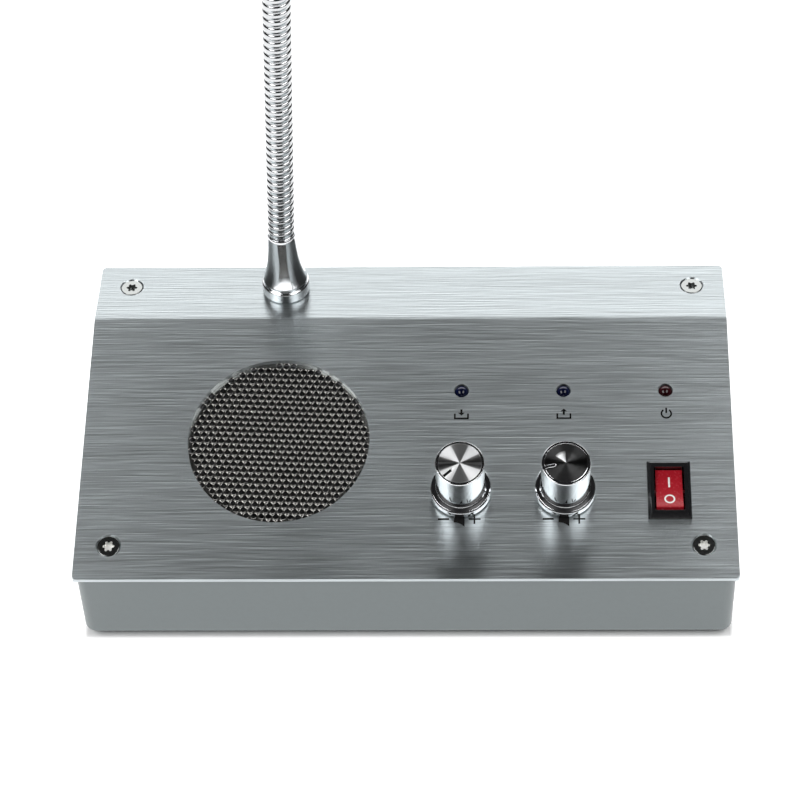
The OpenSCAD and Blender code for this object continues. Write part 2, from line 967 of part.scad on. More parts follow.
// Half outline of the turned knob: foot flange, cylinder with a rounded rim, and the
// recess that takes the cap
module knob_profile() {
    flange_r = knob_flange_d / 2;
    body_r = knob_d / 2;
    recess_r = cap_d / 2 + cap_groove;
    polygon(concat(
        [[0, 0], [flange_r - knob_round / 2, 0], [flange_r, knob_round / 2]],
        [[flange_r, knob_flange_h - knob_round], [flange_r - knob_round, knob_flange_h]],
        [[body_r + knob_round, knob_flange_h], [body_r, knob_flange_h + knob_round]],
        [for (turn = [0:15:90])
            [body_r - knob_round * (1 - cos(turn)), knob_h - knob_round * (1 - sin(turn))]],
        [[recess_r, knob_h], [recess_r, knob_h - cap_t], [0, knob_h - cap_t]]));
}

// Turned knob, hollow below and with a D-shaped socket for the shaft
module knob(i, pointer) {
    hollow_h = shaft_top - shaft_flat_h - knob_gap;
    color([0.82, 0.83, 0.84])
    on_slope(control_u(i), knob_v, knob_gap)
        rotate(-pointer)
            difference() {
                rotate_extrude()
                    knob_profile();
                translate([0, 0, -past])
                    cylinder(d = knob_hollow_d, h = hollow_h + past);
                linear_extrude(shaft_top - knob_gap + seat)
                    shaft_outline(run);
            }
}

module in_knob() { knob(0, in_pointer); }
module out_knob() { knob(1, out_pointer); }

// Spun disc let into the knob's top, with the pointer slot
module knob_cap(i, pointer) {
    slot_start = cap_d / 2 - pointer_l;
    color([0.86, 0.86, 0.86])
    on_slope(control_u(i), knob_v, knob_top - cap_t + seat)
        rotate(-pointer)
            difference() {
                cylinder(d = cap_d, h = cap_t);
                translate([0, 0, cap_t / 2])
                    linear_extrude(cap_t) {
                        translate([0, slot_start])
                            circle(d = pointer_w);
                        translate([-pointer_w / 2, slot_start])
                            square([pointer_w, cap_d]);
                    }
            }
}

module in_knob_cap() { knob_cap(0, in_pointer); }
module out_knob_cap() { knob_cap(1, out_pointer); }

// ---- rocker switch ----

// Snap-in frame with a bevelled bezel, open for the rocker, closed below
module switch_body() {
    color([0.06, 0.06, 0.06])
    on_slope(switch_u, knob_v)
        difference() {
            union() {
                translate([0, 0, seat])
                    bezel_block();
                translate([-switch_w / 2, -switch_l / 2, -switch_depth])
                    cube([switch_w, switch_l, switch_depth + bezel_h / 2]);
                for (end = [-1, 1])
                    translate([0, end * switch_l / 2, -plate_t - 2 * seat])
                        along_x(latch_w)
                            polygon([[-end * past, 0], [end * latch_out, 0], [-end * past, -latch_l]]);
            }
            translate([-opening_w / 2, -opening_l / 2, -switch_depth + switch_floor])
                cube([opening_w, opening_l, switch_depth + bezel_h + past]);
            translate([-switch_w, 0, pivot_n])
                rotate([0, 90, 0])
                    cylinder(d = pin_d + 2 * run, h = 2 * switch_w);
            for (i = [-1:1])
                translate([0, i * terminal_step, -switch_depth])
                    cube([terminal_w + 2 * slip, terminal_t + 2 * slip, 4 * switch_floor],
                        center = true);
        }
}

module bezel_block() {
    hull() {
        linear_extrude(bezel_edge)
            square([bezel_w, bezel_l], center = true);
        linear_extrude(bezel_h - seat)
            square([bezel_w - 2 * bezel_rim, bezel_l - 2 * bezel_rim], center = true);
    }
}

// Rocker with round ends about its pins and a dished top, pressed on its far side
module power_rocker() {
    dish_r = (rocker_l * rocker_l / 4 + rocker_dip * rocker_dip) / (2 * rocker_dip);
    color([0.75, 0.06, 0.08])
    on_slope(switch_u, knob_v, pivot_n)
        rotate([-rocker_tilt, 0, 0]) {
            along_x(rocker_w)
                difference() {
                    intersection() {
                        circle(rocker_r);
                        translate([-rocker_l, rocker_foot])
                            square([2 * rocker_l, rocker_end_n - pivot_n - rocker_foot]);
                    }
                    translate([0, rocker_end_n - pivot_n + dish_r - rocker_dip])
                        circle(dish_r);
                }
            translate([-opening_w / 2 - pin_reach, 0, 0])
                rotate([0, 90, 0])
                    cylinder(d = pin_d, h = opening_w + 2 * pin_reach);
        }
}

module switch_terminals() {
    color([0.80, 0.72, 0.45])
    on_slope(switch_u, knob_v, -switch_depth)
        for (i = [-1:1])
            translate([-terminal_w / 2, i * terminal_step - terminal_t / 2, -terminal_l])
                cube([terminal_w, terminal_t, terminal_l + switch_floor]);
}

// ---- boards and sockets ----

module at_pillars() {
    front_row = board_y - board_d / 2 + pillar_in;
    back_row = board_y + board_d / 2 - jack_l - pillar_in;
    for (x = [-1, 1], y = [front_row, back_row])
        translate([board_x + x * (board_w / 2 - pillar_in), y, 0])
            children();
}

module main_board() {
    color([0.05, 0.30, 0.14])
    difference() {
        translate([board_x - board_w / 2, board_y - board_d / 2, board_z])
            cube([board_w, board_d, board_t]);
        at_pillars()
            translate([0, 0, board_z - past])
                cylinder(d = board_screw_d + 2 * slip, h = board_t + 2 * past);
    }
}

module board_pillars() {
    color([0.78, 0.70, 0.42])
    at_pillars()
        translate([0, 0, floor_z + seat])
            hex_tube(pillar_across, board_screw_d + 2 * run, board_lift - 2 * seat);
}

module board_screws() {
    color([0.78, 0.78, 0.76])
    at_pillars()
        translate([0, 0, part_z]) {
            cylinder(d = board_screw_head_d, h = board_screw_head_h);
            translate([0, 0, -board_t - board_screw_reach])
                cylinder(d = board_screw_d, h = board_t + board_screw_reach + seat);
        }
}

module amplifier_chip() {
    color([0.08, 0.08, 0.09])
    translate([chip_x - chip_w / 2, chip_y, part_z])
        cube([chip_w, chip_d, chip_h]);
}

// Finned extrusion that stands against the amplifier's front
module heat_sink() {
    color([0.68, 0.70, 0.72])
    translate([chip_x - sink_w / 2, chip_y - seat, part_z])
        mirror([0, 1, 0])
            linear_extrude(sink_h) {
                square([sink_w, sink_t]);
                for (i = [0:fins - 1])
                    translate([i * (sink_w - fin_t) / (fins - 1), sink_t / 2])
                        square([fin_t, fin_l]);
            }
}

module capacitors() {
    color([0.10, 0.14, 0.30])
    for (i = [0:2])
        translate([board_x + (i + 1) * can_step, chip_y, part_z]) {
            cylinder(d = can_d, h = can_h);
            cylinder(d = can_d - can_top, h = can_h + can_top);
        }
}

module wire_headers() {
    color([0.88, 0.87, 0.82])
    for (i = [0:2])
        translate([board_x + i * header_step, board_y + header_d, part_z])
            difference() {
                cube([header_w, header_d, header_h]);
                translate([header_wall, header_wall, 2 * header_wall])
                    cube([header_w - 2 * header_wall, header_d - 2 * header_wall, header_h]);
            }
}

// Round plug socket: a block on the board with a nose that fills the hole in the wall
module jack_socket(x) {
    color([0.09, 0.09, 0.09])
    translate([x, wall_y - seat, part_z + jack_h / 2])
        rotate([-90, 0, 0])
            difference() {
                union() {
                    translate([-jack_w / 2, -jack_h / 2, -jack_l])
                        cube([jack_w, jack_h, jack_l]);
                    cylinder(d = jack_nose_d, h = case_wall + seat);
                }
                translate([0, 0, case_wall + seat - jack_depth])
                    cylinder(d = jack_d, h = jack_depth + past);
            }
}

module sub_unit_socket() { jack_socket(sub_unit_x); }
module record_socket() { jack_socket(record_x); }

// Socket for a round power plug, with its centre pin
module power_socket() {
    color([0.09, 0.09, 0.09])
    translate([power_x, wall_y - seat, part_z + power_h / 2])
        rotate([-90, 0, 0]) {
            difference() {
                union() {
                    translate([-power_w / 2, -power_h / 2, -jack_l])
                        cube([power_w, power_h, jack_l]);
                    cylinder(d = power_nose_d, h = case_wall + seat);
                }
                translate([0, 0, case_wall + seat - power_depth])
                    cylinder(d = power_bore_d, h = power_depth + past);
            }
            translate([0, 0, case_wall - power_depth - past])
                cylinder(d = power_pin_d, h = power_depth);
        }
}

// ---- gooseneck microphone ----

// Turned collar: a foot lip, a groove, a hollow flare and a slim mouth for the gooseneck
module neck_collar() {
    lip_r = collar_d / 2;
    lip_top = collar_lip_h;
    groove_r = lip_r - collar_groove_in;
    flare_r = lip_r - collar_waist_in;
    flare_foot = lip_top + collar_groove_h;
    mouth_r = neck_d / 2 + mouth_wall;
    color([0.76, 0.78, 0.79])
    translate([neck_x, neck_y, rear_h + seat])
        difference() {
            union() {
                rotate_extrude()
                    polygon(concat(
                        [[0, 0], [lip_r - collar_edge, 0], [lip_r, collar_edge]],
                        [[lip_r, lip_top - collar_edge], [lip_r - collar_edge, lip_top]],
                        [[groove_r, lip_top], [groove_r, flare_foot]],
                        [for (t = [0:0.08:0.96])
                            [mouth_r + (flare_r - mouth_r) * flare(t),
                                flare_foot + t * (collar_h - flare_foot)]],
                        [[mouth_r - mouth_edge, collar_h], [0, collar_h]]));
                translate([0, 0, -neck_stud_l])
                    cylinder(d = neck_stud_d, h = neck_stud_l + past);
                translate([0, 0, collar_h + link_gap])
                    sphere(ball_r);
            }
            translate([0, 0, -neck_stud_l - past])
                cylinder(d = neck_bore_d, h = neck_stud_l + collar_h + 2 * ball_r + 2 * past);
        }
}

// Share of the flare that is left at height t, from 1 at its foot to 0 at the mouth
function flare(t) = 0.6 * pow(1 - t, 4) + 0.4 * (1 - t);

module neck_nut() {
    color([0.72, 0.72, 0.70])
    translate([neck_x, neck_y, rear_h - plate_t - seat - neck_nut_h])
        hex_tube(neck_nut_across, neck_stud_d + 2 * run, neck_nut_h);
}

// Frame of the gooseneck: its origin is the first bend, just above the collar's mouth
module on_neck(h = 0) {
    translate([neck_x, neck_y, rear_h + seat + collar_h + link_gap])
        rotate([0, neck_lean, 0])
            translate([0, 0, h])
                children();
}

// Outline of one turn, from its lower groove to its upper one. A turn that the link's
// end leaves too low is left out.
function turn_points(i, bottom, top) =
    let (low = max(bottom, i * turn_h + turn_gap / 2),
         high = min(top, (i + 1) * turn_h - turn_gap / 2),
         r = neck_d / 2)
        high - low < 2 * turn_round ? [] : [
            [r - turn_depth, low - turn_gap / 4],
            [r - turn_round, low], [r, low + turn_round],
            [r, high - turn_round], [r - turn_round, high],
            [r - turn_depth, high + turn_gap / 4]];

module neck_tube(bottom, top) {
    core_r = neck_d / 2 - turn_depth;
    margin = turn_gap / 4;
    rotate_extrude()
        polygon(concat(
            [[0, bottom], [core_r, bottom]],
            [for (i = [0:link_turns - 1], p = turn_points(i, bottom + margin, top - margin)) p],
            [[core_r, top], [0, top]]));
}

// One link: a stack of turns with a ball on top and a cup below
module neck_link(k) {
    bottom = link_gap;
    top = link_h - link_gap;
    color([0.70, 0.72, 0.73])
    on_neck((k - 1) * link_h)
        difference() {
            union() {
                neck_tube(bottom, top);
                if (k < links)
                    translate([0, 0, link_h])
                        sphere(ball_r);
            }
            sphere(ball_r + run);
            translate([0, 0, -link_h])
                cylinder(d = neck_bore_d, h = 3 * link_h);
        }
}

module neck_link_1() { neck_link(1); }
module neck_link_2() { neck_link(2); }
module neck_link_3() { neck_link(3); }
module neck_link_4() { neck_link(4); }
module neck_link_5() { neck_link(5); }
module neck_link_6() { neck_link(6); }
module neck_link_7() { neck_link(7); }
module neck_link_8() { neck_link(8); }

// ---- microphone head ----

// Tapered sleeve that joins the gooseneck to the microphone's housing
module mic_ferrule() {
    foot_r = neck_d / 2 + ferrule_wall;
    head_r = mic_d / 2;
    rim_z = mic_ferrule_h - ferrule_rim_h;
    color([0.76, 0.78, 0.79])
    on_neck(mic_z)
        difference() {
            rotate_extrude()
                polygon([
                    [0, 0], [foot_r - ferrule_edge, 0], [foot_r, ferrule_edge],
                    [foot_r + ferrule_taper, rim_z - ferrule_cone_h],
                    [head_r - ferrule_edge, rim_z], [head_r, rim_z + ferrule_edge],
                    [head_r, mic_ferrule_h], [0, mic_ferrule_h]]);
            translate([0, 0, -past])
                cylinder(d = neck_bore_d, h = mic_ferrule_h + 2 * past);
        }
}

// Thin-walled tube with sound slots round its upper end
module mic_housing() {
    slot_z = mic_len - mic_slot_h - mic_slot_top;
    color([0.07, 0.07, 0.07])
    on_neck(mic_body_z)
        difference() {
            cylinder(d = mic_d, h = mic_len);
            translate([0, 0, mic_wall])
                cylinder(d = mic_bore_d, h = mic_len);
            translate([0, 0, -past])
                cylinder(d = neck_bore_d, h = mic_wall + 2 * past);
            for (i = [0:mic_slots - 1])
                rotate(i * 360 / mic_slots)
                    translate([mic_bore_d / 2 - mic_wall, 0, slot_z])
                        rotate([90, 0, 90])
                            linear_extrude(4 * mic_wall)
                                rounded_slot(mic_slot_w, mic_slot_h);
        }
}

// Sound capsule in a rubber sleeve that fits the housing, just below the slots
module mic_capsule() {
    capsule_z = mic_len - mic_slot_h - mic_slot_top - capsule_h - seat;
    color([0.55, 0.56, 0.57])
    on_neck(mic_body_z + capsule_z) {
        cylinder(d = capsule_d, h = capsule_h);
        cylinder(d = mic_bore_d - 2 * seat, h = sleeve_h);
    }
}

// Perforated end plug of the microphone, with a chamfered lip on the housing's end
module mic_grille() {
    hole_h = mic_plug_h + mic_lip_h + 2 * past;
    color([0.20, 0.20, 0.20])
    on_neck(mic_body_z + mic_len - mic_plug_h)
        difference() {
            union() {
                cylinder(d = mic_bore_d - 2 * seat, h = mic_plug_h + mic_lip_h);
                translate([0, 0, mic_plug_h + seat])
                    cylinder(d1 = mic_d, d2 = mic_d - 2, h = mic_lip_h);
            }
            for (i = [0:mic_holes - 1])
                rotate(i * 360 / mic_holes)
                    translate([mic_bore_d / 2 - mic_hole_d, 0, -past])
                        cylinder(d = mic_hole_d, h = hole_h);
            translate([0, 0, -past])
                cylinder(d = mic_hole_d, h = hole_h);
        }
}

top_plate();
lower_case();
corner_brackets();
bracket_nuts();
cover_screws();
rubber_feet();
speaker_grille();
speaker_basket();
speaker_cone();
speaker_surround();
speaker_dust_cap();
voice_coil();
speaker_front_pole();
speaker_magnet();
speaker_yoke();
speaker_studs();
speaker_clamps();
speaker_nuts();
in_lamp();
out_lamp();
power_lamp();
lamp_spacers();
control_board();
in_control_body();
out_control_body();
control_washers();
control_nuts();
in_control_shaft();
out_control_shaft();
in_knob();
out_knob();
in_knob_cap();
out_knob_cap();
switch_body();
power_rocker();
switch_terminals();
main_board();
board_pillars();
board_screws();
amplifier_chip();
heat_sink();
capacitors();
wire_headers();
power_socket();
sub_unit_socket();
record_socket();
neck_collar();
neck_nut();
neck_link_1();
neck_link_2();
neck_link_3();
neck_link_4();
neck_link_5();
neck_link_6();
neck_link_7();
neck_link_8();
mic_ferrule();
mic_housing();
mic_capsule();
mic_grille();
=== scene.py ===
# %% [markdown]
# # A desk intercom with a gooseneck microphone
# The solids of this object were made in a CAD program and packed as a fixed frame. This lesson
# dresses that frame: it sets the camera and the light, gives every solid a finish, and adds the
# details that solids alone don't show, such as the brushing of the panel and the wound gooseneck.

# %% Load the frame
import json
import math

import bmesh
import bpy
from mathutils import Matrix, Vector

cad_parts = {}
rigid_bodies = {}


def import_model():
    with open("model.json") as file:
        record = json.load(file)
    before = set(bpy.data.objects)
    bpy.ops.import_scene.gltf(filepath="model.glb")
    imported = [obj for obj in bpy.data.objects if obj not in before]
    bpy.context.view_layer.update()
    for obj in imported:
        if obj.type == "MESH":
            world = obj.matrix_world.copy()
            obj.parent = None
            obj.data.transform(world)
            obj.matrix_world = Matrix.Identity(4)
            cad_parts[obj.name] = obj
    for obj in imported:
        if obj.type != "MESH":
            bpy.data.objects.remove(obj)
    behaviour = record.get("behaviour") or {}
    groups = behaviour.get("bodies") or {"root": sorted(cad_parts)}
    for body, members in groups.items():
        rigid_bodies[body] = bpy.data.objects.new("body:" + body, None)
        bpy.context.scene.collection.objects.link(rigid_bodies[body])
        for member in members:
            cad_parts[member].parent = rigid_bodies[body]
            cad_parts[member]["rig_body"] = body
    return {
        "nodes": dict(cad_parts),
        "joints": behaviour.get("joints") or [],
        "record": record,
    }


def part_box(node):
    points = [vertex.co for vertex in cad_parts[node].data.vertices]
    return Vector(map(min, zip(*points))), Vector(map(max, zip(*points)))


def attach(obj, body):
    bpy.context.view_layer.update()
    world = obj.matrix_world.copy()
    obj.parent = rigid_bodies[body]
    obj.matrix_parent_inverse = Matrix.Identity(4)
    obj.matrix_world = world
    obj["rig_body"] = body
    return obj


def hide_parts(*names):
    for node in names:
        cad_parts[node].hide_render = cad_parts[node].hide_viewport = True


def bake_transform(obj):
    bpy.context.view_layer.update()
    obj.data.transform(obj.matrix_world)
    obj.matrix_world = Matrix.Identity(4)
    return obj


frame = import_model()
scene = bpy.context.scene
nodes = frame["nodes"]
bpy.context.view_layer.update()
MM = 0.001

# %% [markdown]
# A piece must sit where the CAD part says. Its places could be typed in as numbers, but then they
# go wrong when the part changes. The joints carry exact points and axes, so the panel's slope, the
# knobs' centres and the foot of the gooseneck are all read from them. Only sizes that no joint or
# box gives are written here, each with its own name.

# %% Read the places of the panel
joint = {j["name"]: j for j in frame["joints"]}
knob_foot = {
    "in": Vector(joint["in_knob_turn"]["pos_m"]),
    "out": Vector(joint["out_knob_turn"]["pos_m"]),
}
panel_out = Vector(joint["in_knob_turn"]["axis"]).normalized()
panel_up = panel_out.cross(Vector((1, 0, 0))).normalized()
slope = math.atan2(panel_up.z, panel_up.y)
print("slope of the panel:", round(math.degrees(slope), 2), "degrees")


def panel_matrix(point, out_mm=0.0):
    """Turns a flat shape's X, Y and Z into the panel's across, up and out, at a point."""
    turned = Matrix((Vector((1, 0, 0)), panel_up, panel_out)).transposed()
    return Matrix.Translation(point + panel_out * out_mm * MM) @ turned.to_4x4()


# %% [markdown]
# The photograph looks down on the object at about 46 degrees through a long lens. The camera could
# be moved until the object sits in the frame by eye. Here its place was worked out from the corners
# of the panel, so that every edge runs the way it does in the photograph. The object stands left of
# where the lens points, which a small sideways shift repeats.

# %% Set the camera
LENS_MM = 110.1
LENS_SHIFT = -0.0919
CAMERA_PLACE = (0.03468, -0.59618, 0.66519)
LOOK_DOWN = 0.7974016
LOOK_LEFT = 0.019796
ROLL = -0.0171047

camera_data = bpy.data.cameras.new("camera")
camera_data.sensor_width = 36
camera_data.lens = LENS_MM
camera_data.shift_x = LENS_SHIFT
camera = bpy.data.objects.new("camera", camera_data)
scene.collection.objects.link(camera)
look = Matrix.Rotation(LOOK_LEFT, 4, "Z")
look = look @ Matrix.Rotation(math.pi / 2 - LOOK_DOWN, 4, "X")
look = look @ Matrix.Rotation(ROLL, 4, "Z")
camera.matrix_world = Matrix.Translation(CAMERA_PLACE) @ look
scene.camera = camera
scene.view_settings.view_transform = "Standard"
print("lens:", camera_data.lens, "mm, looking down:", round(math.degrees(LOOK_DOWN), 1), "degrees")

# %% [markdown]
# Polished metal shows its surroundings, so the studio matters as much as the finishes. One even
# pale sky would be the simplest, but chrome under it looks like plaster. This sky is dark overhead
# and bright at the back, which gives the panel its grey slope and its bright strip.

# %% Helpers for the sky
world = bpy.data.worlds.new("studio")
scene.world = world
world.use_nodes = True
sky = world.node_tree
sky.nodes.clear()
RANGE = ("From Min", "From Max", "To Min", "To Max")


def sky_math(operation, first, second):
    """One sum of two values or sockets in the sky."""
    node = sky.nodes.new("ShaderNodeMath")
    node.operation = operation
    for socket, value in zip(node.inputs, (first, second)):
        if isinstance(value, float):
            socket.default_value = value
        else:
            sky.links.new(value, socket)
    return node.outputs[0]


def sky_step(value, start, end, low, high):
    """Rises softly from low to high while value goes from start to end."""
    node = sky.nodes.new("ShaderNodeMapRange")
    node.interpolation_type = "SMOOTHSTEP"
    sky.links.new(value, node.inputs["Value"])
    for name, number in zip(RANGE, (start, end, low, high)):
        node.inputs[name].default_value = number
    return node.outputs["Result"]


# %% Paint the sky by direction
BACK_STARTS = 0.56
BACK_IS_FULL = 0.69
BACK_GLOW = 2.8
SIDE_IS_DARK = 0.75
SIDE_IS_FULL = 0.45
DARK_SKY = 0.03

direction = sky.nodes.new("ShaderNodeTexCoord")
split = sky.nodes.new("ShaderNodeSeparateXYZ")
sky.links.new(direction.outputs["Generated"], split.inputs[0])
sideways = sky_math("ABSOLUTE", split.outputs["X"], 0.0)
backwards = sky_step(split.outputs["Y"], BACK_STARTS, BACK_IS_FULL, 0.0, BACK_GLOW)
between_sides = sky_step(sideways, SIDE_IS_DARK, SIDE_IS_FULL, 0.0, 1.0)
back_glow = sky_math("MULTIPLY", backwards, between_sides)
radiance = sky_math("MAXIMUM", back_glow, DARK_SKY)
print("glow at the back:", BACK_GLOW, "elsewhere:", DARK_SKY)

# %% [markdown]
# The camera itself should see a plain white ground behind the object, while the metal still
# reflects the dark studio. The Light Path node tells the two apart.

# %% Show the camera a white ground
path = sky.nodes.new("ShaderNodeLightPath")
seen = sky_math("MAXIMUM", radiance, path.outputs["Is Camera Ray"])
background = sky.nodes.new("ShaderNodeBackground")
background.inputs["Color"].default_value = (1.0, 1.0, 1.0, 1)
sky.links.new(seen, background.inputs["Strength"])
ending = sky.nodes.new("ShaderNodeOutputWorld")
sky.links.new(background.outputs[0], ending.inputs["Surface"])
print("nodes in the sky:", len(sky.nodes))

# %% [markdown]
# Two long soft lamps hang left and right above the camera. Spot lamps would leave small hard
# highlights. Long ones give the knobs their white sides and their dark middle, as in the
# photograph.

# %% Hang the soft lamps
LAMP_W = 0.75
LAMP_L = 1.2


def soft_lamp(name, place, brightness):
    """A long lamp that faces the object, its length running from front to back."""
    data = bpy.data.lights.new(name, "AREA")
    data.shape = "RECTANGLE"
    data.size = LAMP_W
    data.size_y = LAMP_L
    data.energy = brightness * math.pi * LAMP_W * LAMP_L
    lamp = bpy.data.objects.new(name, data)
    scene.collection.objects.link(lamp)
    away = Vector(place).normalized()
    across = Vector((0, 1, 0)).cross(away).normalized()
    along = away.cross(across)
    facing = Matrix((across, along, away)).transposed().to_4x4()
    lamp.matrix_world = Matrix.Translation(place) @ facing


soft_lamp("left_lamp", (-0.95, -0.58, 1.29), 5.4)
soft_lamp("right_lamp", (0.78, -0.50, 1.42), 4.4)

# %% [markdown]
# ## Finishes
# A finish starts from Blender's standard shader. Flat colours would look like toys, so a few
# helpers add what real surfaces have: grain that changes the colour a little, patches of higher
# gloss, and fine relief. Patterns are placed by object coordinates, in metres, so a scale of 1000
# means features of about a millimetre.


# %% A plain finish and its nodes
def shader_of(made):
    """The standard shader of a material."""
    return made.node_tree.nodes["Principled BSDF"]


def finish(name, colour, rough, metal=0.0, coat=0.0):
    """A new material with one even colour and gloss."""
    made = bpy.data.materials.new(name)
    made.use_nodes = True
    shader = shader_of(made)
    shader.inputs["Base Color"].default_value = (*colour, 1)
    shader.inputs["Roughness"].default_value = rough
    shader.inputs["Metallic"].default_value = metal
    shader.inputs["Coat Weight"].default_value = coat
    shader.inputs["Coat Roughness"].default_value = 0.08
    made.diffuse_color = (*colour, 1)
    return made


def add_node(made, kind, **inputs):
    """A node in a material, with some of its sockets set or linked by name."""
    tree = made.node_tree
    node = tree.nodes.new(kind)
    for name, value in inputs.items():
        socket = node.inputs[name.replace("_", " ")]
        if isinstance(value, bpy.types.NodeSocket):
            tree.links.new(value, socket)
        else:
            socket.default_value = value
    return node


def feed(made, socket, value):
    """Links a value to a socket of the material's shader."""
    made.node_tree.links.new(value, shader_of(made).inputs[socket])


# %% Grain, tint and relief
def grain(made, stretch, detail=3.0):
    """Noise from 0 to 1 with as many features per metre along X, Y and Z as stretch says."""
    coordinates = add_node(made, "ShaderNodeTexCoord")
    place = add_node(made, "ShaderNodeMapping", Vector=coordinates.outputs["Object"])
    place.vector_type = "TEXTURE"
    place.inputs["Scale"].default_value = [1 / s for s in stretch]
    noise = add_node(made, "ShaderNodeTexNoise", Vector=place.outputs[0], Scale=1.0, Detail=detail)
    return noise.outputs["Fac"]


def spread(made, value, low, high, start=0.25, end=0.75):
    """Changes a value so that it runs from low to high while it goes from start to end."""
    node = add_node(made, "ShaderNodeMapRange", Value=value)
    for name, number in zip(RANGE, (start, end, low, high)):
        node.inputs[name].default_value = number
    return node.outputs["Result"]


def mixed(made, value, first, second):
    """A colour that runs from the first to the second with a value; the first may be a socket."""
    mix = add_node(made, "ShaderNodeMix")
    mix.data_type = "RGBA"
    mix.inputs["B"].default_value = (*second, 1)
    made.node_tree.links.new(value, mix.inputs["Factor"])
    if isinstance(first, bpy.types.NodeSocket):
        made.node_tree.links.new(first, mix.inputs["A"])
    else:
        mix.inputs["A"].default_value = (*first, 1)
    return mix.outputs["Result"]


def relief(made, value, height_mm, strength=1.0):
    """Raises the surface by up to height_mm where the value is high."""
    height = height_mm * MM
    bump = add_node(made, "ShaderNodeBump", Height=value, Strength=strength, Distance=height)
    feed(made, "Normal", bump.outputs["Normal"])


def shaded(colour, factor):
    """A colour made darker or lighter by a factor."""
    return tuple(c * factor for c in colour)


# %% [markdown]
# Most solids need no more than one kind of grain. Each could have its own nodes, but one helper
# keeps them alike: the colour wanders a little, the gloss wanders with it, and a fine relief breaks
# up the shine. It keeps what it makes in a table, by name.

# %% A finish with grain
finishes = {}


def even(count):
    """The same number of features along X, Y and Z."""
    return (count, count, count)


def grained(
    name, colour, rough, metal=0.0, coat=0.0, stretch=even(900), change=0.12, bump_mm=0.004
):
    """A finish whose grain changes its colour, its gloss and its height a little."""
    made = finish(name, colour, rough, metal, coat)
    pattern = grain(made, stretch)
    darker, lighter = shaded(colour, 1 - change), shaded(colour, 1 + change)
    feed(made, "Base Color", mixed(made, spread(made, pattern, 0.0, 1.0), darker, lighter))
    feed(made, "Roughness", spread(made, pattern, rough * 0.85, min(1.0, rough * 1.2)))
    if bump_mm:
        relief(made, pattern, bump_mm, 0.5)
    finishes[name] = made
    return made


# %% [markdown]
# ### The brushed panel
# The panel is brushed from side to side. The scratches could be cut into the mesh, but there are
# thousands of them. Here two noises are drawn out along the panel, a fine one and a wide one, and
# change its colour, gloss and relief. Scratches also widen highlights up and down the panel but not
# across it. The tangent of the piece's UV map tells the shader which way that is, so its U runs up
# the panel, across the scratches.

# %% The brush's lines
PANEL_GREY = (0.53, 0.575, 0.59)
FINE_BRUSH = (45, 1500, 1500)
WIDE_BRUSH = (6, 200, 200)
FINE_SHARE = 0.75
WIDE_SHARE = 0.25

brushed_panel = finish("brushed_panel", PANEL_GREY, 0.36, metal=1.0)
fine_lines = grain(brushed_panel, FINE_BRUSH, 4.0)
wide_lines = grain(brushed_panel, WIDE_BRUSH, 2.0)
wide_part = spread(brushed_panel, wide_lines, 0.0, WIDE_SHARE, 0, 1)
lines = add_node(brushed_panel, "ShaderNodeMath", Value=fine_lines)
lines.operation = "MULTIPLY_ADD"
lines.inputs[1].default_value = FINE_SHARE
brushed_panel.node_tree.links.new(wide_part, lines.inputs[2])
print("fine brush lines are about", round(1 / FINE_BRUSH[1] / MM, 2), "mm wide")

# %% The brushed panel's finish
BRUSH_DEPTH_MM = 0.13

streaks = spread(brushed_panel, lines.outputs[0], 0, 1, 0.34, 0.66)
dark_streak, light_streak = shaded(PANEL_GREY, 0.84), shaded(PANEL_GREY, 1.18)
feed(brushed_panel, "Base Color", mixed(brushed_panel, streaks, dark_streak, light_streak))
feed(brushed_panel, "Roughness", spread(brushed_panel, fine_lines, 0.31, 0.38))
relief(brushed_panel, fine_lines, BRUSH_DEPTH_MM)
shader_of(brushed_panel).inputs["Anisotropic"].default_value = 0.9
up_the_panel = add_node(brushed_panel, "ShaderNodeTangent")
up_the_panel.direction_type = "UV_MAP"
up_the_panel.uv_map = "brush"
feed(brushed_panel, "Tangent", up_the_panel.outputs[0])
finishes["brushed_panel"] = brushed_panel
print("nodes in the brushed finish:", len(brushed_panel.node_tree.nodes))

# %% [markdown]
# ### Case, screws and loudspeaker
# The case is painted grey over thin sheet, the screws are plated, and the disc before the
# loudspeaker is bare metal. The paint has a weak clear coat, and the disc is given a darker grey
# than bare steel, all over. The dark box behind it shows through its holes.

# %% Finishes of the case and the loudspeaker
thin_paint = {"coat": 0.15, "stretch": even(500), "change": 0.03, "bump_mm": 0.002}
grained("case_paint", (0.138, 0.162, 0.166), 0.36, **thin_paint)
grained("zinc_steel", (0.27, 0.28, 0.275), 0.17, metal=1.0, change=0.05, bump_mm=0.0)
# The brighter zinc below is a painted highlight, for the recesses of the front two screws.
grained("zinc_painted_highlight", (0.85, 0.85, 0.83), 0.5, metal=1.0, bump_mm=0.0)
grained("foot_rubber", (0.03, 0.03, 0.03), 0.75, change=0.25, bump_mm=0.02)
grained(
    "grille_metal", (0.34, 0.335, 0.32), 0.2, metal=1.0, stretch=even(700), change=0.1, bump_mm=0.0
)
grained("basket_steel", (0.06, 0.062, 0.066), 0.5)
grained("cone_paper", (0.005, 0.005, 0.005), 0.9, change=0.3, bump_mm=0.05)
grained("surround_rubber", (0.01, 0.01, 0.011), 0.6)
grained("coil_copper", (0.75, 0.36, 0.17), 0.3, metal=1.0, stretch=(80, 80, 5000))
grained("pole_iron", (0.55, 0.55, 0.52), 0.35, metal=1.0)
grained("magnet_ferrite", (0.045, 0.045, 0.05), 0.6, bump_mm=0.02)
print("finishes so far:", len(finishes))

# %% [markdown]
# ### Electronics
# Nobody sees the inside with the case closed. Its pieces still get their own finish, since the
# solids can be taken apart: green board, ribbed aluminium, turned shafts and moulded plastic.

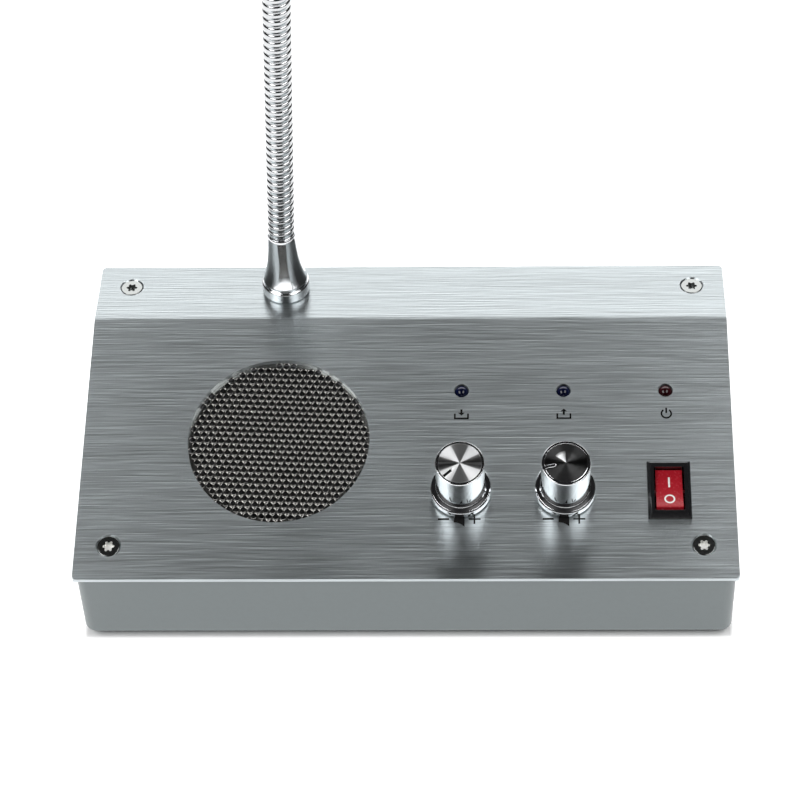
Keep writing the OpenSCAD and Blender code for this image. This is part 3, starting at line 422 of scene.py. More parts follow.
# %% Finishes of the electronics
grained("black_plastic", (0.02, 0.02, 0.021), 0.42, bump_mm=0.01)
grained("board_laminate", (0.02, 0.12, 0.055), 0.35, coat=0.4, stretch=even(350), change=0.2)
grained("control_shell", (0.30, 0.32, 0.36), 0.34, metal=1.0)
grained("shaft_steel", (0.66, 0.66, 0.64), 0.25, metal=1.0, stretch=(60, 60, 3000))
grained("contact_brass", (0.72, 0.56, 0.26), 0.3, metal=1.0)
grained("sink_aluminium", (0.62, 0.64, 0.66), 0.42, metal=1.0, stretch=(2500, 2500, 40))
grained("can_sleeve", (0.03, 0.05, 0.16), 0.3, coat=0.5)
grained("header_plastic", (0.72, 0.70, 0.62), 0.45)
print("finishes so far:", len(finishes))

# %% [markdown]
# ### Chrome and black
# The collar, the gooseneck and the knobs are plated. Chrome is nearly a mirror, so its grain is
# very weak, and it differs by how bright and how smooth it is. The microphone and the switch's
# frame are black, one dull and one glossy.

# %% Finishes of the neck, the microphone and the knobs
CHROME_GREY = (0.80, 0.815, 0.83)
COLLAR_GREY = shaded(CHROME_GREY, 0.8)
NECK_GREY = shaded(CHROME_GREY, 0.62)
plated = {"metal": 1.0, "bump_mm": 0.0}

grained("collar_chrome", COLLAR_GREY, 0.11, stretch=(30, 30, 2500), change=0.03, **plated)
grained("neck_chrome", NECK_GREY, 0.13, stretch=even(300), change=0.05, **plated)
grained("knob_chrome", CHROME_GREY, 0.07, stretch=even(200), change=0.02, **plated)
grained("mic_black", (0.022, 0.022, 0.023), 0.4, coat=0.2, bump_mm=0.006)
grained("capsule_metal", (0.5, 0.51, 0.52), 0.3, metal=1.0)
grained("mic_mesh", (0.06, 0.06, 0.06), 0.45, metal=0.6)
grained("bezel_plastic", (0.008, 0.008, 0.009), 0.16, coat=0.6, change=0.1, bump_mm=0.0)
print("finishes so far:", len(finishes))

# %% [markdown]
# ### Lamps and rocker
# The lamps are unlit and cast in tinted clear resin, and the rocker is moulded in red. Real
# transparency could be used, but it costs time and shows little at this size. A deep colour that
# brightens towards its edges, under a glossy coat, looks the same.


# %% Lamp and rocker finishes
def resin(name, deep, bright):
    """Tinted resin, deep in the middle and brighter where it is seen from the side."""
    made = finish(name, deep, 0.12, coat=0.45)
    facing = add_node(made, "ShaderNodeLayerWeight", Blend=0.35)
    feed(made, "Base Color", mixed(made, facing.outputs["Facing"], deep, bright))
    shader_of(made).inputs["Coat Roughness"].default_value = 0.03
    shader_of(made).inputs["Specular IOR Level"].default_value = 0.15
    finishes[name] = made


resin("blue_lamp", (0.0005, 0.001, 0.01), (0.006, 0.014, 0.09))
resin("red_lamp", (0.01, 0.0005, 0.001), (0.09, 0.006, 0.012))
grained("red_plastic", (0.37, 0.008, 0.018), 0.25, coat=0.4, change=0.03, bump_mm=0.0)
print("finishes so far:", len(finishes))

# %% [markdown]
# ### Spun caps
# The caps of the knobs were turned on a lathe, which leaves rings. Rings spread a highlight
# outwards, so a cap shows bright and dark sectors like a fan. Where they fall depends on the
# studio, which isn't known here. So the rings and their tangent give the sheen, and the base colour
# paints the same fan in, as painted highlights and painted shade by the angle about the knob's own
# axis. Towards the rim the painted fan fades to one painted colour.

# %% Rings about a knob's axis
CAP_METAL = (0.9, 0.91, 0.92)
CAP_ROUGH = 0.34
RINGS_PER_M = 3000
RING_DEPTH_MM = 0.002


def about_knob(made, centre):
    """Where each point lies about the panel's outward axis: across, up and how far away."""
    coordinates = add_node(made, "ShaderNodeTexCoord")
    place = add_node(made, "ShaderNodeMapping", Vector=coordinates.outputs["Object"])
    place.vector_type = "TEXTURE"
    place.inputs["Location"].default_value = centre
    place.inputs["Rotation"].default_value = (slope, 0, 0)
    parts = add_node(made, "ShaderNodeSeparateXYZ", Vector=place.outputs[0])
    across, up = parts.outputs["X"], parts.outputs["Y"]
    flat = add_node(made, "ShaderNodeCombineXYZ", X=across, Y=up)
    away = add_node(made, "ShaderNodeVectorMath", Vector=flat.outputs[0])
    away.operation = "LENGTH"
    return across, up, away.outputs["Value"]


def lathe_rings(made, away):
    """Fine rings, and the tangent that spreads highlights across them."""
    rings = add_node(made, "ShaderNodeTexNoise", Scale=RINGS_PER_M, Detail=3.0)
    rings.noise_dimensions = "1D"
    made.node_tree.links.new(away, rings.inputs["W"])
    relief(made, rings.outputs["Fac"], RING_DEPTH_MM, 0.5)
    outwards = add_node(made, "ShaderNodeTangent")
    outwards.direction_type = "UV_MAP"
    outwards.uv_map = "rings"
    feed(made, "Tangent", outwards.outputs[0])
    shader_of(made).inputs["Anisotropic"].default_value = 1.0


# %% The spun caps' finish, with a painted fan of highlight and shade
def spun(name, centre, fan, fade_start, fade_end, painted_rim_brightness):
    """Turned metal with a painted fan of highlight and shade, as (degrees, brightness), which fades
    to a painted rim colour (in mm).
    """
    made = finish(name, CAP_METAL, CAP_ROUGH, metal=1.0)
    across, up, away = about_knob(made, centre)
    lathe_rings(made, away)
    turn = add_node(made, "ShaderNodeMath")
    turn.operation = "ARCTAN2"
    made.node_tree.links.new(up, turn.inputs[0])
    made.node_tree.links.new(across, turn.inputs[1])
    round_once = spread(made, turn.outputs[0], 0, 1, -math.pi, math.pi)
    sectors = add_node(made, "ShaderNodeValToRGB", Fac=round_once)
    stops = sectors.color_ramp.elements
    while len(stops) < len(fan):
        stops.new(0.5)
    for stop, (degrees, bright) in zip(stops, fan):
        stop.position = degrees / 360 + 0.5
        stop.color = (*shaded(CAP_METAL, bright), 1)
    rim = spread(made, away, 0, 1, fade_start * MM, fade_end * MM)
    painted_rim_colour = shaded(CAP_METAL, painted_rim_brightness)
    feed(made, "Base Color", mixed(made, rim, sectors.outputs["Color"], painted_rim_colour))
    return made


# %% The painted fans of highlight and shade on the two caps
# In each painted fan, brightness 1 is a painted highlight and DARK is painted shade.
DARK = 0.26
in_painted_fan = [(-180, 1), (-177, 1), (-175, DARK), (-158, DARK), (-153, 1), (-115, 1)]
in_painted_fan += [(-111, 0.3), (-66, 0.25), (-62, 1), (-22, 1), (-18, DARK), (-7, DARK)]
in_painted_fan += [(-5, 1), (2, 1), (4, DARK), (26, DARK), (30, 0.9), (64, 0.9), (68, 0.25)]
in_painted_fan += [(112, 0.3), (117, 1), (158, 1), (162, DARK), (175, DARK), (177, 1), (180, 1)]
# The right cap's fan is painted shade nearly all round, with one wedge of painted highlight.
out_painted_fan = [(-180, 0.07), (20, 0.07), (40, 0.12), (60, 0.12)]
out_painted_fan += [(90, 0.07), (98, 1), (142, 1), (146, 0.07)]
# The left fan fades to full colour 7 to 8 mm out, the right one to painted shade 3.4 to 4.6 mm out.
spun_finish = {
    "in": spun("in_spun_cap", knob_foot["in"], in_painted_fan, 7, 8, 1),
    "out": spun("out_spun_cap", knob_foot["out"], out_painted_fan, 3.4, 4.6, 0.06),
}
finishes["spun_cap"] = spun_finish["in"]
print("stops in the fans:", len(in_painted_fan), "and", len(out_painted_fan))

# %% [markdown]
# ### The floor
# The object stands on white paper. A lit paper would do, but it would have to be lit far more than
# the metal bears. So this one is a pale disc that glows a little, as paper on a light table does.
# Right under the case it doesn't glow, which paints in the thin shadow left where the object
# stands.

# %% The floor's paper
PAPER_GLOW = 0.75
GLOW_STARTS_MM = -0.5
GLOW_IS_FULL_MM = 1.5

floor_paper = finish("floor_paper", (0.9, 0.9, 0.9), 0.9)
paper = shader_of(floor_paper)
paper.inputs["Specular IOR Level"].default_value = 0.1
paper.inputs["Emission Color"].default_value = (1, 1, 1, 1)
case_low, case_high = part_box("lower_case")
place = add_node(floor_paper, "ShaderNodeTexCoord")
from_middle = add_node(floor_paper, "ShaderNodeVectorMath", Vector=place.outputs["Object"])
from_middle.operation = "SUBTRACT"
from_middle.inputs[1].default_value = (case_low + case_high) / 2
as_positive = add_node(floor_paper, "ShaderNodeVectorMath", Vector=from_middle.outputs[0])
as_positive.operation = "ABSOLUTE"
sides = add_node(floor_paper, "ShaderNodeSeparateXYZ", Vector=as_positive.outputs[0])
# The glow is cut off under the case and fades in just past its edges: a painted shadow.
glow = []
for axis in (0, 1):
    edge = (case_high - case_low)[axis] / 2
    starts, full = edge + GLOW_STARTS_MM * MM, edge + GLOW_IS_FULL_MM * MM
    glow.append(spread(floor_paper, sides.outputs[axis], 0, 1, starts, full))
outside = add_node(floor_paper, "ShaderNodeMath", Value=glow[0])
outside.operation = "MAXIMUM"
floor_paper.node_tree.links.new(glow[1], outside.inputs[1])
strength = add_node(floor_paper, "ShaderNodeMath", Value=outside.outputs[0])
strength.operation = "MULTIPLY"
strength.inputs[1].default_value = PAPER_GLOW
feed(floor_paper, "Emission Strength", strength.outputs[0])
print("the paper glows with strength", PAPER_GLOW)

# %% Lay the floor
FLOOR_R = 6
bm = bmesh.new()
bmesh.ops.create_circle(bm, cap_ends=True, segments=96, radius=FLOOR_R)
floor_mesh = bpy.data.meshes.new("floor")
bm.to_mesh(floor_mesh)
bm.free()
floor_mesh.materials.append(floor_paper)
floor = bpy.data.objects.new("floor", floor_mesh)
scene.collection.objects.link(floor)
print("floor:", 2 * FLOOR_R, "m across")

# %% [markdown]
# ## Pieces
# A solid from a CAD program has knife-sharp edges, and its mesh is loose triangles. It could be
# shown as it is, but real edges are never quite sharp, and a thin bright line along them is what
# makes metal look real. So a copy gets merged corners, small rounded edges and smooth shading. The
# copy replaces the solid and rides on the same body.

# %% A helper that finishes a piece
slot_of = {part["node"]: part["material_slot"] for part in frame["record"]["subparts"]}


def bent_less(edge, degrees):
    """Whether the two faces at an edge meet at less than an angle."""
    return len(edge.link_faces) == 2 and edge.calc_face_angle(0) < math.radians(degrees)


def finish_piece(bm, name, body, slot, material=None, smooth_below=35):
    """Makes a mesh object from bm, smooth except at sharp edges, that rides on a body."""
    for face in bm.faces:
        face.smooth = True
    for edge in bm.edges:
        edge.smooth = bent_less(edge, smooth_below)
    mesh = bpy.data.meshes.new(name)
    bm.to_mesh(mesh)
    bm.free()
    if "custom_normal" in mesh.attributes:
        mesh.attributes.remove(mesh.attributes["custom_normal"])
    mesh.materials.clear()
    mesh.materials.append(material or finishes[slot])
    piece = bpy.data.objects.new(name, mesh)
    scene.collection.objects.link(piece)
    shading = piece.modifiers.new("weighted_normals", "WEIGHTED_NORMAL")
    shading.keep_sharp = True
    if body:
        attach(piece, body)
    return piece


# %% Helpers that copy and soften a solid
WELD_MM = 0.002
FLAT_BELOW = 0.4


def merged_copy(node):
    """A bmesh of a solid with its corners merged and its flat faces whole."""
    bm = bmesh.new()
    bm.from_mesh(nodes[node].data)
    bmesh.ops.remove_doubles(bm, verts=bm.verts, dist=WELD_MM * MM)
    flat = math.radians(FLAT_BELOW)
    bmesh.ops.dissolve_limit(bm, angle_limit=flat, verts=bm.verts, edges=bm.edges)
    return bm


def soften(bm, radius_mm, limit=30, segments=2):
    """Rounds the edges that are bent by more than the limit, in degrees."""
    two_sided = [edge for edge in bm.edges if len(edge.link_faces) == 2]
    sharp = [edge for edge in two_sided if edge.calc_face_angle(0) > math.radians(limit)]
    bmesh.ops.bevel(
        bm,
        geom=sharp,
        offset=radius_mm * MM,
        offset_type="OFFSET",
        affect="EDGES",
        segments=segments,
        profile=0.5,
        material=-1,
        clamp_overlap=True,
    )
    return len(sharp)


def softened(node, piece_name, radius_mm):
    """A copy of a solid with rounded edges, which replaces it."""
    bm = merged_copy(node)
    count = soften(bm, radius_mm)
    piece = finish_piece(bm, piece_name, nodes[node]["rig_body"], slot_of[node])
    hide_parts(node)
    print(piece_name, "has", count, "rounded edges")
    return piece


# %% [markdown]
# ### The panel
# The panel is one bent sheet with holes. Its CAD shape is right, so it only needs soft edges and a
# map for the brush. The UV map lays U from front to back, which is across the way the brush went.

# %% The panel
UV_PER_M = 4

panel = softened("top_plate", "brushed_top_plate", 0.22)
brush_map = panel.data.uv_layers.new(name="brush")
for loop, uv in zip(panel.data.loops, brush_map.data):
    place = panel.data.vertices[loop.vertex_index].co
    uv.uv = (place.y * UV_PER_M, place.x * UV_PER_M)
print("loops in the brush map:", len(brush_map.data))

# %% [markdown]
# ### Case, knobs, switch and microphone
# These keep their CAD shapes too. The knobs and the collar are turned pieces that already have
# their rounded rims, so only their smallest edges are rounded here. The rocker is moulded, with
# the widest round of all.

# %% The small pieces on the panel
softened("lower_case", "painted_case", 0.25)
softened("in_knob", "in_chrome_knob", 0.12)
softened("out_knob", "out_chrome_knob", 0.12)
softened("switch_body", "switch_bezel", 0.18)
softened("power_rocker", "red_rocker", 0.5)
softened("neck_collar", "chrome_collar", 0.15)
softened("mic_ferrule", "chrome_ferrule", 0.15)
softened("mic_housing", "black_mic_tube", 0.12)
softened("mic_grille", "mic_end_plug", 0.1)

# %% [markdown]
# ### The cover screws
# Each screw is countersunk, with a recess in the shape of a star. The head has a wide rounded rim,
# so its edge is softened first and alone, and the recess after it. The recess of the front two is
# bright inside, because it catches the lamps. It gets a second, brighter finish, a painted
# highlight, chosen face by face by how far a face lies from the middle of the head.

# %% Soften the screws
SCREW_RIM = 0.45
STAR_EDGE = 0.08

bm = merged_copy("cover_screws")
soften(bm, SCREW_RIM, limit=120, segments=4)
soften(bm, STAR_EDGE, limit=60)
screws = finish_piece(bm, "star_screws", "housing", "zinc_steel")
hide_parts("cover_screws")
screws.data.materials.append(finishes["zinc_painted_highlight"])
print("faces in the screws:", len(screws.data.polygons))

# %% Paint a highlight into the star of the front two
STAR_R = 2.7
HEAD_DEEP = 1
BELOW_TOP = 0.05


def head_of(side):
    """The middle of a front screw's head, across and up the panel, and its height."""
    own = [v.co for v in screws.data.vertices if v.co.x * side > 0 and v.co.y < 0]
    top = max(place.dot(panel_out) for place in own)
    head = [place for place in own if place.dot(panel_out) > top - HEAD_DEEP * MM]
    across = [place.x for place in head]
    ups = [place.dot(panel_up) for place in head]
    return (min(across) + max(across)) / 2, (min(ups) + max(ups)) / 2, top


painted_highlight_faces = 0
for side in (-1, 1):
    middle_x, middle_up, top = head_of(side)
    for face in screws.data.polygons:
        place = face.center
        away = math.hypot(place.x - middle_x, place.dot(panel_up) - middle_up)
        sunk = place.dot(panel_out) < top - BELOW_TOP * MM
        if place.y < 0 and away < STAR_R * MM and sunk:
            face.material_index = 1
            painted_highlight_faces += 1
print("bright faces in the front screws:", painted_highlight_faces)

# %% [markdown]
# ### The caps of the knobs
# A cap is a thin turned disc with a slot. Its flat top is one big face, which has no direction for
# rings to follow. So it is cut into sectors by planes through its axis, and a UV map gives each
# sector its own way outwards.


# %% A map that runs outwards
RING_UV_PER_M = 20
NEAR_AXIS_MM = 0.01


def ring_map(piece, centre):
    """A UV map whose U runs outwards from the centre, across the rings."""
    rings = piece.data.uv_layers.new(name="rings")
    for face in piece.data.polygons:
        middle = face.center - centre
        middle_angle = math.atan2(middle.dot(panel_up), middle.x)
        for index in face.loop_indices:
            away = piece.data.vertices[piece.data.loops[index].vertex_index].co - centre
            up = away.dot(panel_up)
            distance = Vector((away.x, up)).length
            off_axis = distance > NEAR_AXIS_MM * MM
            angle = math.atan2(up, away.x) if off_axis else middle_angle
            turned = (angle - middle_angle + math.pi) % (2 * math.pi) - math.pi
            round_it = (middle_angle + turned) / math.pi
            rings.data[index].uv = (distance * RING_UV_PER_M, round_it)


# %% The spun caps
CUTS = 24


def spun_cap(side, rim):
    """The knob's cap, cut into sectors so that its rings have a direction."""
    node = side + "_knob_cap"
    bm = merged_copy(node)
    soften(bm, rim)
    centre = knob_foot[side]
    for k in range(CUTS):
        angle = math.pi * k / CUTS
        across = Vector((math.cos(angle), 0, 0)) + panel_up * math.sin(angle)
        geometry = bm.verts[:] + bm.edges[:] + bm.faces[:]
        bmesh.ops.bisect_plane(bm, geom=geometry, dist=1e-7, plane_co=centre, plane_no=across)
    name = side + "_spun_cap"
    piece = finish_piece(bm, name, side + "_knob", "spun_cap", spun_finish[side])
    ring_map(piece, centre)
    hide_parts(node)
    print(name, "has", len(piece.data.polygons), "faces")
    return piece


spun_cap("in", 0.16)
out_cap = spun_cap("out", 0.34)

# %% [markdown]
# The right cap has a polished edge, wide enough to catch the light all round.

# %% Polish the right cap's edge
UPRIGHT = 0.1
FLAT = 0.97

out_cap.data.materials.append(finishes["knob_chrome"])
for face in out_cap.data.polygons:
    on_edge = UPRIGHT < face.normal.dot(panel_out) < FLAT
    face.material_index = 1 if on_edge else 0
print("polished faces:", sum(face.material_index for face in out_cap.data.polygons))

# %% [markdown]
# ### The perforated disc
# The disc behind the round opening has hundreds of punched holes. They could be cut out of a disc
# one by one, but cutting is slow and leaves ragged faces. Instead one six-sided tile with a hole is
# made, repeated on a grid of equal triangles, and merged into a sheet. The sheet gets its
# thickness, and then the front rim of each hole is rounded. A tile has few faces, because it is
# repeated so often.

# %% Sizes of the perforated disc
HIDDEN_RIM = 1.6
SHARE_CUT_OFF = 0.35

grille_low, grille_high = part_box("speaker_grille")
grille_centre = (grille_low + grille_high) / 2
disc_r = (grille_high.x - grille_low.x) / 2 / MM
opening_r = disc_r - HIDDEN_RIM
hole_pitch = 2.53
hole_r = 0.95
hole_sides = 18
row_h = hole_pitch * math.sqrt(3) / 2
pattern_turn = math.radians(-2.5)
sheet_t = 0.8
hole_rim = 0.26
hole_reach = opening_r - SHARE_CUT_OFF * 2 * hole_r
print("disc radius:", round(disc_r, 2), "mm")


# %% One tile of the sheet
def sheet_tile(with_hole):
    """A mesh of one six-sided tile in millimetres, with or without its hole."""
    bm = bmesh.new()
    corner_r = hole_pitch / math.sqrt(3)
    bmesh.ops.create_circle(bm, cap_ends=not with_hole, segments=6, radius=corner_r)
    if with_hole:
        bmesh.ops.create_circle(bm, cap_ends=False, segments=hole_sides, radius=hole_r)
        bmesh.ops.bridge_loops(bm, edges=bm.edges[:])
    tile = bpy.data.meshes.new("tile")
    bm.to_mesh(tile)
    bm.free()
    return tile


def add_at(bm, mesh, place, last_place):
    """Adds a mesh at a place, given the place where it was last added."""
    mesh.transform(Matrix.Translation(place - last_place))
    bm.from_mesh(mesh)
    return place


tiles = {True: sheet_tile(True), False: sheet_tile(False)}
print("faces in a tile:", len(tiles[True].polygons), "or", len(tiles[False].polygons))

# %% Repeat the tile
bm = bmesh.new()
last_place = {True: Vector(), False: Vector()}
rows = math.ceil(disc_r / row_h)
columns = math.ceil(disc_r / hole_pitch) + 1
holes = 0
for j in range(-rows, rows + 1):
    for i in range(-columns, columns + 1):
        x = (i + (0 if j % 2 == 0 else 0.5)) * hole_pitch
        y = j * row_h
        if math.hypot(x, y) > disc_r + hole_pitch:
            continue
        has_hole = math.hypot(x, y) < hole_reach
        holes += has_hole
        place = Vector((x, y, 0))
        last_place[has_hole] = add_at(bm, tiles[has_hole], place, last_place[has_hole])
bmesh.ops.rotate(bm, verts=bm.verts, matrix=Matrix.Rotation(pattern_turn, 3, "Z"))
bmesh.ops.remove_doubles(bm, verts=bm.verts, dist=0.01)
print("holes in the disc:", holes)

# %% Trim the sheet to a disc
beyond = [f for f in bm.faces if all(v.co.length > disc_r - 0.01 for v in f.verts)]
bmesh.ops.delete(bm, geom=beyond, context="FACES")
for vert in bm.verts:
    if vert.co.length > disc_r:
        vert.co *= disc_r / vert.co.length
bmesh.ops.recalc_face_normals(bm, faces=bm.faces)
if sum(f.normal.z for f in bm.faces) < 0:
    bmesh.ops.reverse_faces(bm, faces=bm.faces)
print("tiles outside the disc left out:", len(beyond), "faces")


# %% Give the disc its thickness
def thicken(bm, thick):
    """Gives a flat sheet that faces up its thickness, upwards, and closes its sides."""
    extruded = bmesh.ops.extrude_face_region(bm, geom=bm.faces[:], use_keep_orig=True)
    raised = [v for v in extruded["geom"] if isinstance(v, bmesh.types.BMVert)]
    bmesh.ops.translate(bm, verts=raised, vec=(0, 0, thick))
    bmesh.ops.recalc_face_normals(bm, faces=bm.faces)


thicken(bm, sheet_t)
print("faces in the sheet:", len(bm.faces))


# %% Round the front rims and lay the disc down
def on_front_rim(edge):
    """Whether an edge is part of a hole's rim on the front of the sheet."""
    in_front = all(v.co.z > sheet_t / 2 for v in edge.verts)
    in_opening = all(v.co.length < opening_r + 0.5 for v in edge.verts)
    return in_front and in_opening and len(edge.link_faces) == 2 and edge.calc_face_angle(0) > 1


bmesh.ops.bevel(
    bm,
    geom=[edge for edge in bm.edges if on_front_rim(edge)],
    offset=hole_rim,
    offset_type="OFFSET",
    affect="EDGES",
    segments=2,
    profile=0.5,
    material=-1,
)
half_down = Matrix.Translation((0, 0, -sheet_t / 2))
in_place = panel_matrix(grille_centre) @ Matrix.Scale(MM, 4) @ half_down
bmesh.ops.transform(bm, verts=bm.verts, matrix=in_place)
disc = finish_piece(bm, "perforated_disc", "housing", "grille_metal")
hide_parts("speaker_grille")
print("faces in the disc:", len(disc.data.polygons))

# %% [markdown]
# ### The gooseneck
# A gooseneck is a steel strip wound into a tube, so its grooves climb like a screw thread. A stack
# of plain rings would be simpler, but its grooves would lie level. Here the outline of one turn is
# spun round the axis while it rises by one pitch. The tube is made in nine lengths that meet in the
# middle of the CAD links.

# %% Sizes of the gooseneck
LINKS = 8
TURNS_PER_LINK = 12
first_bend = Vector(joint["neck_forward_1"]["pos_m"])
second_bend = Vector(joint["neck_sideways_2"]["pos_m"])
neck_axis = (second_bend - first_bend).normalized()
link_h = (second_bend - first_bend).length / MM
turn_h = link_h / TURNS_PER_LINK
neck_lean = math.atan2(neck_axis.x, neck_axis.z)
neck_frame = Matrix.Translation(first_bend) @ Matrix.Rotation(neck_lean, 4, "Y")
collar_top = -1.15
ferrule_foot = LINKS * link_h - 1.12
print("one link:", round(link_h, 3), "mm, one turn:", round(turn_h, 3), "mm")

# %% [markdown]
# The outline starts and ends at the bottom of the groove. The face of the strip has a small step,
# where one turn overlaps the next. The groove lies in shade, so its faces get a black finish as
# painted shade.

# %% Wind one turn
STEPS = 36
GROOVE_R = 4.62
turn_outline = [(4.20, 0.0), (4.20, 0.14), (4.52, 0.24), (4.68, 0.42), (4.74, 0.66)]
turn_outline += [(4.75, 0.88), (4.80, 0.96), (4.81, 1.40), (4.80, 1.95), (4.72, 2.25)]
turn_outline += [(4.54, 2.48), (4.22, 2.62), (4.20, turn_h)]

bm = bmesh.new()
verts = [bm.verts.new((r, 0, z)) for r, z in turn_outline]
edges = [bm.edges.new(pair) for pair in zip(verts, verts[1:])]
bmesh.ops.spin(
    bm,
    geom=verts + edges,
    axis=(0, 0, 1),
    cent=(0, 0, 0),
    dvec=(0, 0, turn_h / STEPS),
    angle=2 * math.pi,
    steps=STEPS,
    use_merge=False,
)
one_turn = bpy.data.meshes.new("one_turn")
bm.to_mesh(one_turn)
bm.free()
for face in one_turn.polygons:
    in_groove_painted_shade = math.hypot(face.center.x, face.center.y) < GROOVE_R
    face.material_index = 1 if in_groove_painted_shade else 0
print("faces in one turn:", len(one_turn.polygons))


# %% One length of the gooseneck
def cut_off(bm, height, side):
    """Cuts the tube level at a height, keeps what lies within, and closes the cut."""
    geometry = bm.verts[:] + bm.edges[:] + bm.faces[:]
    bmesh.ops.bisect_plane(
        bm,
        geom=geometry,
        dist=1e-5,
        plane_co=(0, 0, height),
        plane_no=(0, 0, side),
        clear_outer=True,
    )
    open_edges = [edge for edge in bm.edges if edge.is_boundary]
    rim = [e for e in open_edges if all(abs(v.co.z - height) < 1e-3 for v in e.verts)]
    bmesh.ops.edgenet_fill(bm, edges=rim)


def wound_length(low, high):
    """The wound tube between two heights above the first bend, in millimetres."""
    bm = bmesh.new()
    start = math.floor(low / turn_h) - 2
    last_place = Vector()
    for turn in range(start, math.ceil(high / turn_h) + 2):
        last_place = add_at(bm, one_turn, Vector((0, 0, turn * turn_h)), last_place)
    one_turn.transform(Matrix.Translation(-last_place))
    bmesh.ops.remove_doubles(bm, verts=bm.verts, dist=0.01)
    cut_off(bm, low, -1)
    cut_off(bm, high, 1)
    bmesh.ops.recalc_face_normals(bm, faces=bm.faces)
    bmesh.ops.transform(bm, verts=bm.verts, matrix=neck_frame @ Matrix.Scale(MM, 4))
    return bm


# %% [markdown]
# Each length ends where the next starts. The last length is straight and rides on the last link
# alone; the others ride on no body, and the CAD links they cover are hidden.


LENGTHS = LINKS + 1
lower_end = collar_top
for k in range(1, LENGTHS + 1):
    upper_end = ferrule_foot if k == LENGTHS else (k - 0.5) * link_h
    name = "gooseneck_%d" % k
    body = "neck_%d" % LINKS if k == LENGTHS else None
    tube = wound_length(lower_end, upper_end)
    piece = finish_piece(tube, name, body, "neck_chrome", smooth_below=60)
    # The second finish is the black of painted shade in the grooves.
    piece.data.materials.append(finishes["black_plastic"])
    if k < LENGTHS:
        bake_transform(piece)
        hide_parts("neck_link_%d" % k)
    lower_end = upper_end
print("gooseneck pieces:", LENGTHS, "faces in the last:", len(piece.data.polygons))

# %% [markdown]
# ### Printed marks
# The printed marks are black ink with hardly any thickness. They could be painted in the panel's
# finish, but a shape of its own stays sharp however near the camera comes. Each mark is drawn flat
# in millimetres, given a few hundredths of thickness, and laid on the panel.

# %% Ink
INK_T = 0.02
ink = grained("black_ink", (0.006, 0.006, 0.006), 0.5, stretch=even(2500), change=0.3, bump_mm=0.0)
shader_of(ink).inputs["Specular IOR Level"].default_value = 0.1
white_ink = grained(
    "white_ink", (0.82, 0.82, 0.80), 0.4, stretch=even(2500), change=0.04, bump_mm=0.0
)
# A plain black for the painted shade in the knobs' gaps and the collar's groove.
painted_shade_black = finish("painted_shade_black", (0.01, 0.01, 0.011), 0.25)
print("ink is", INK_T, "mm thick")


# %% Flat shapes
def flat_shape(bm, points):
    """One flat face through the points, in millimetres."""
    return bm.faces.new([bm.verts.new((x, y, 0)) for x, y in points])


def flat_bar(bm, left, right, low, high):
    """A flat bar between two places across and two places up."""
    return flat_shape(bm, [(left, low), (left, high), (right, high), (right, low)])


def flat_ring(bm, x, y, r, width, start=0.0, end=360.0, steps=32):
    """A flat ring, or a part of one between two angles in degrees, by a spin."""
    middle = Vector((x, y, 0))
    outwards = Matrix.Rotation(math.radians(start), 3, "Z") @ Vector((1, 0, 0))
    ends = [bm.verts.new(middle + outwards * (r + half)) for half in (-width / 2, width / 2)]
    across = bm.edges.new(ends)
    bmesh.ops.spin(
        bm,
        geom=ends + [across],
        cent=middle,
        axis=(0, 0, 1),
        angle=math.radians(end - start),
        steps=steps,
        use_merge=end - start == 360,
    )


def lay_ink(bm, name, body, slot, material, matrix, thick=INK_T):
    """Thickens flat marks and lays them down with a matrix."""
    bmesh.ops.recalc_face_normals(bm, faces=bm.faces)
    for face in bm.faces:
        if face.normal.z < 0:
            face.normal_flip()
    thicken(bm, thick)
    bmesh.ops.transform(bm, verts=bm.verts, matrix=matrix @ Matrix.Scale(MM, 4))
    piece = finish_piece(bm, name, body, slot, material)
    print(name, "has", len(piece.data.polygons), "faces")


# %% [markdown]
# Below each knob stand a minus, a plus and a small wedge between them. They tell which way to turn.

# %% Marks under the knobs
wedge = [(-2.05, -8.6), (1.3, -8.6), (1.3, -13.6), (0.5, -12.8)]
wedge += [(-0.6, -12.2), (-1.5, -11.95), (-2.35, -11.85)]
for side, foot in knob_foot.items():
    bm = bmesh.new()
    flat_bar(bm, -7.8, -4.0, -11.0, -10.3)
    flat_shape(bm, wedge)
    flat_bar(bm, 2.7, 6.8, -10.95, -10.35)
    flat_bar(bm, 4.4, 5.0, -12.5, -10.95)
    flat_bar(bm, 4.4, 5.0, -10.35, -8.9)
    name = side + "_level_marks"
    lay_ink(bm, name, "housing", "black_plastic", ink, panel_matrix(foot))

# %% [markdown]
# A black ring of painted shade runs round each cap and round the foot of each knob, where the real
# knob has a gap or a groove too fine for this model. Each ring lies on the metal by its height
# below the cap's top.

# %% Rings of painted shade on the knobs
RINGS = (("cap", 7.55, 8.1, 0.0), ("foot", 8.85, 9.95, -17.6))


def top_of_cap(side):
    """How high the top of a cap stands above the foot of its knob."""
    cap = nodes[side + "_knob_cap"].data
    return max((v.co - knob_foot[side]).dot(panel_out) for v in cap.vertices)


for side, foot in knob_foot.items():
    for part, inside, outside, up in RINGS:
        bm = bmesh.new()
        flat_ring(bm, 0, 0, (inside + outside) / 2, outside - inside, steps=64)
        on_knob = panel_matrix(foot) @ Matrix.Translation((0, 0, top_of_cap(side) + up * MM))
        name = "%s_%s_ring" % (side, part)
        lay_ink(bm, name, side + "_knob", "black_plastic", painted_shade_black, on_knob)

# %% [markdown]
# The collar has a groove above its foot, and a black ring paints its shade in. The ring lies level,
# because the collar stands on the flat strip and not on the slope.

# %% Painted shade in the collar's groove
COLLAR_RING_R = 7.85
COLLAR_RING_W = 0.9
COLLAR_RING_UP = 4.4

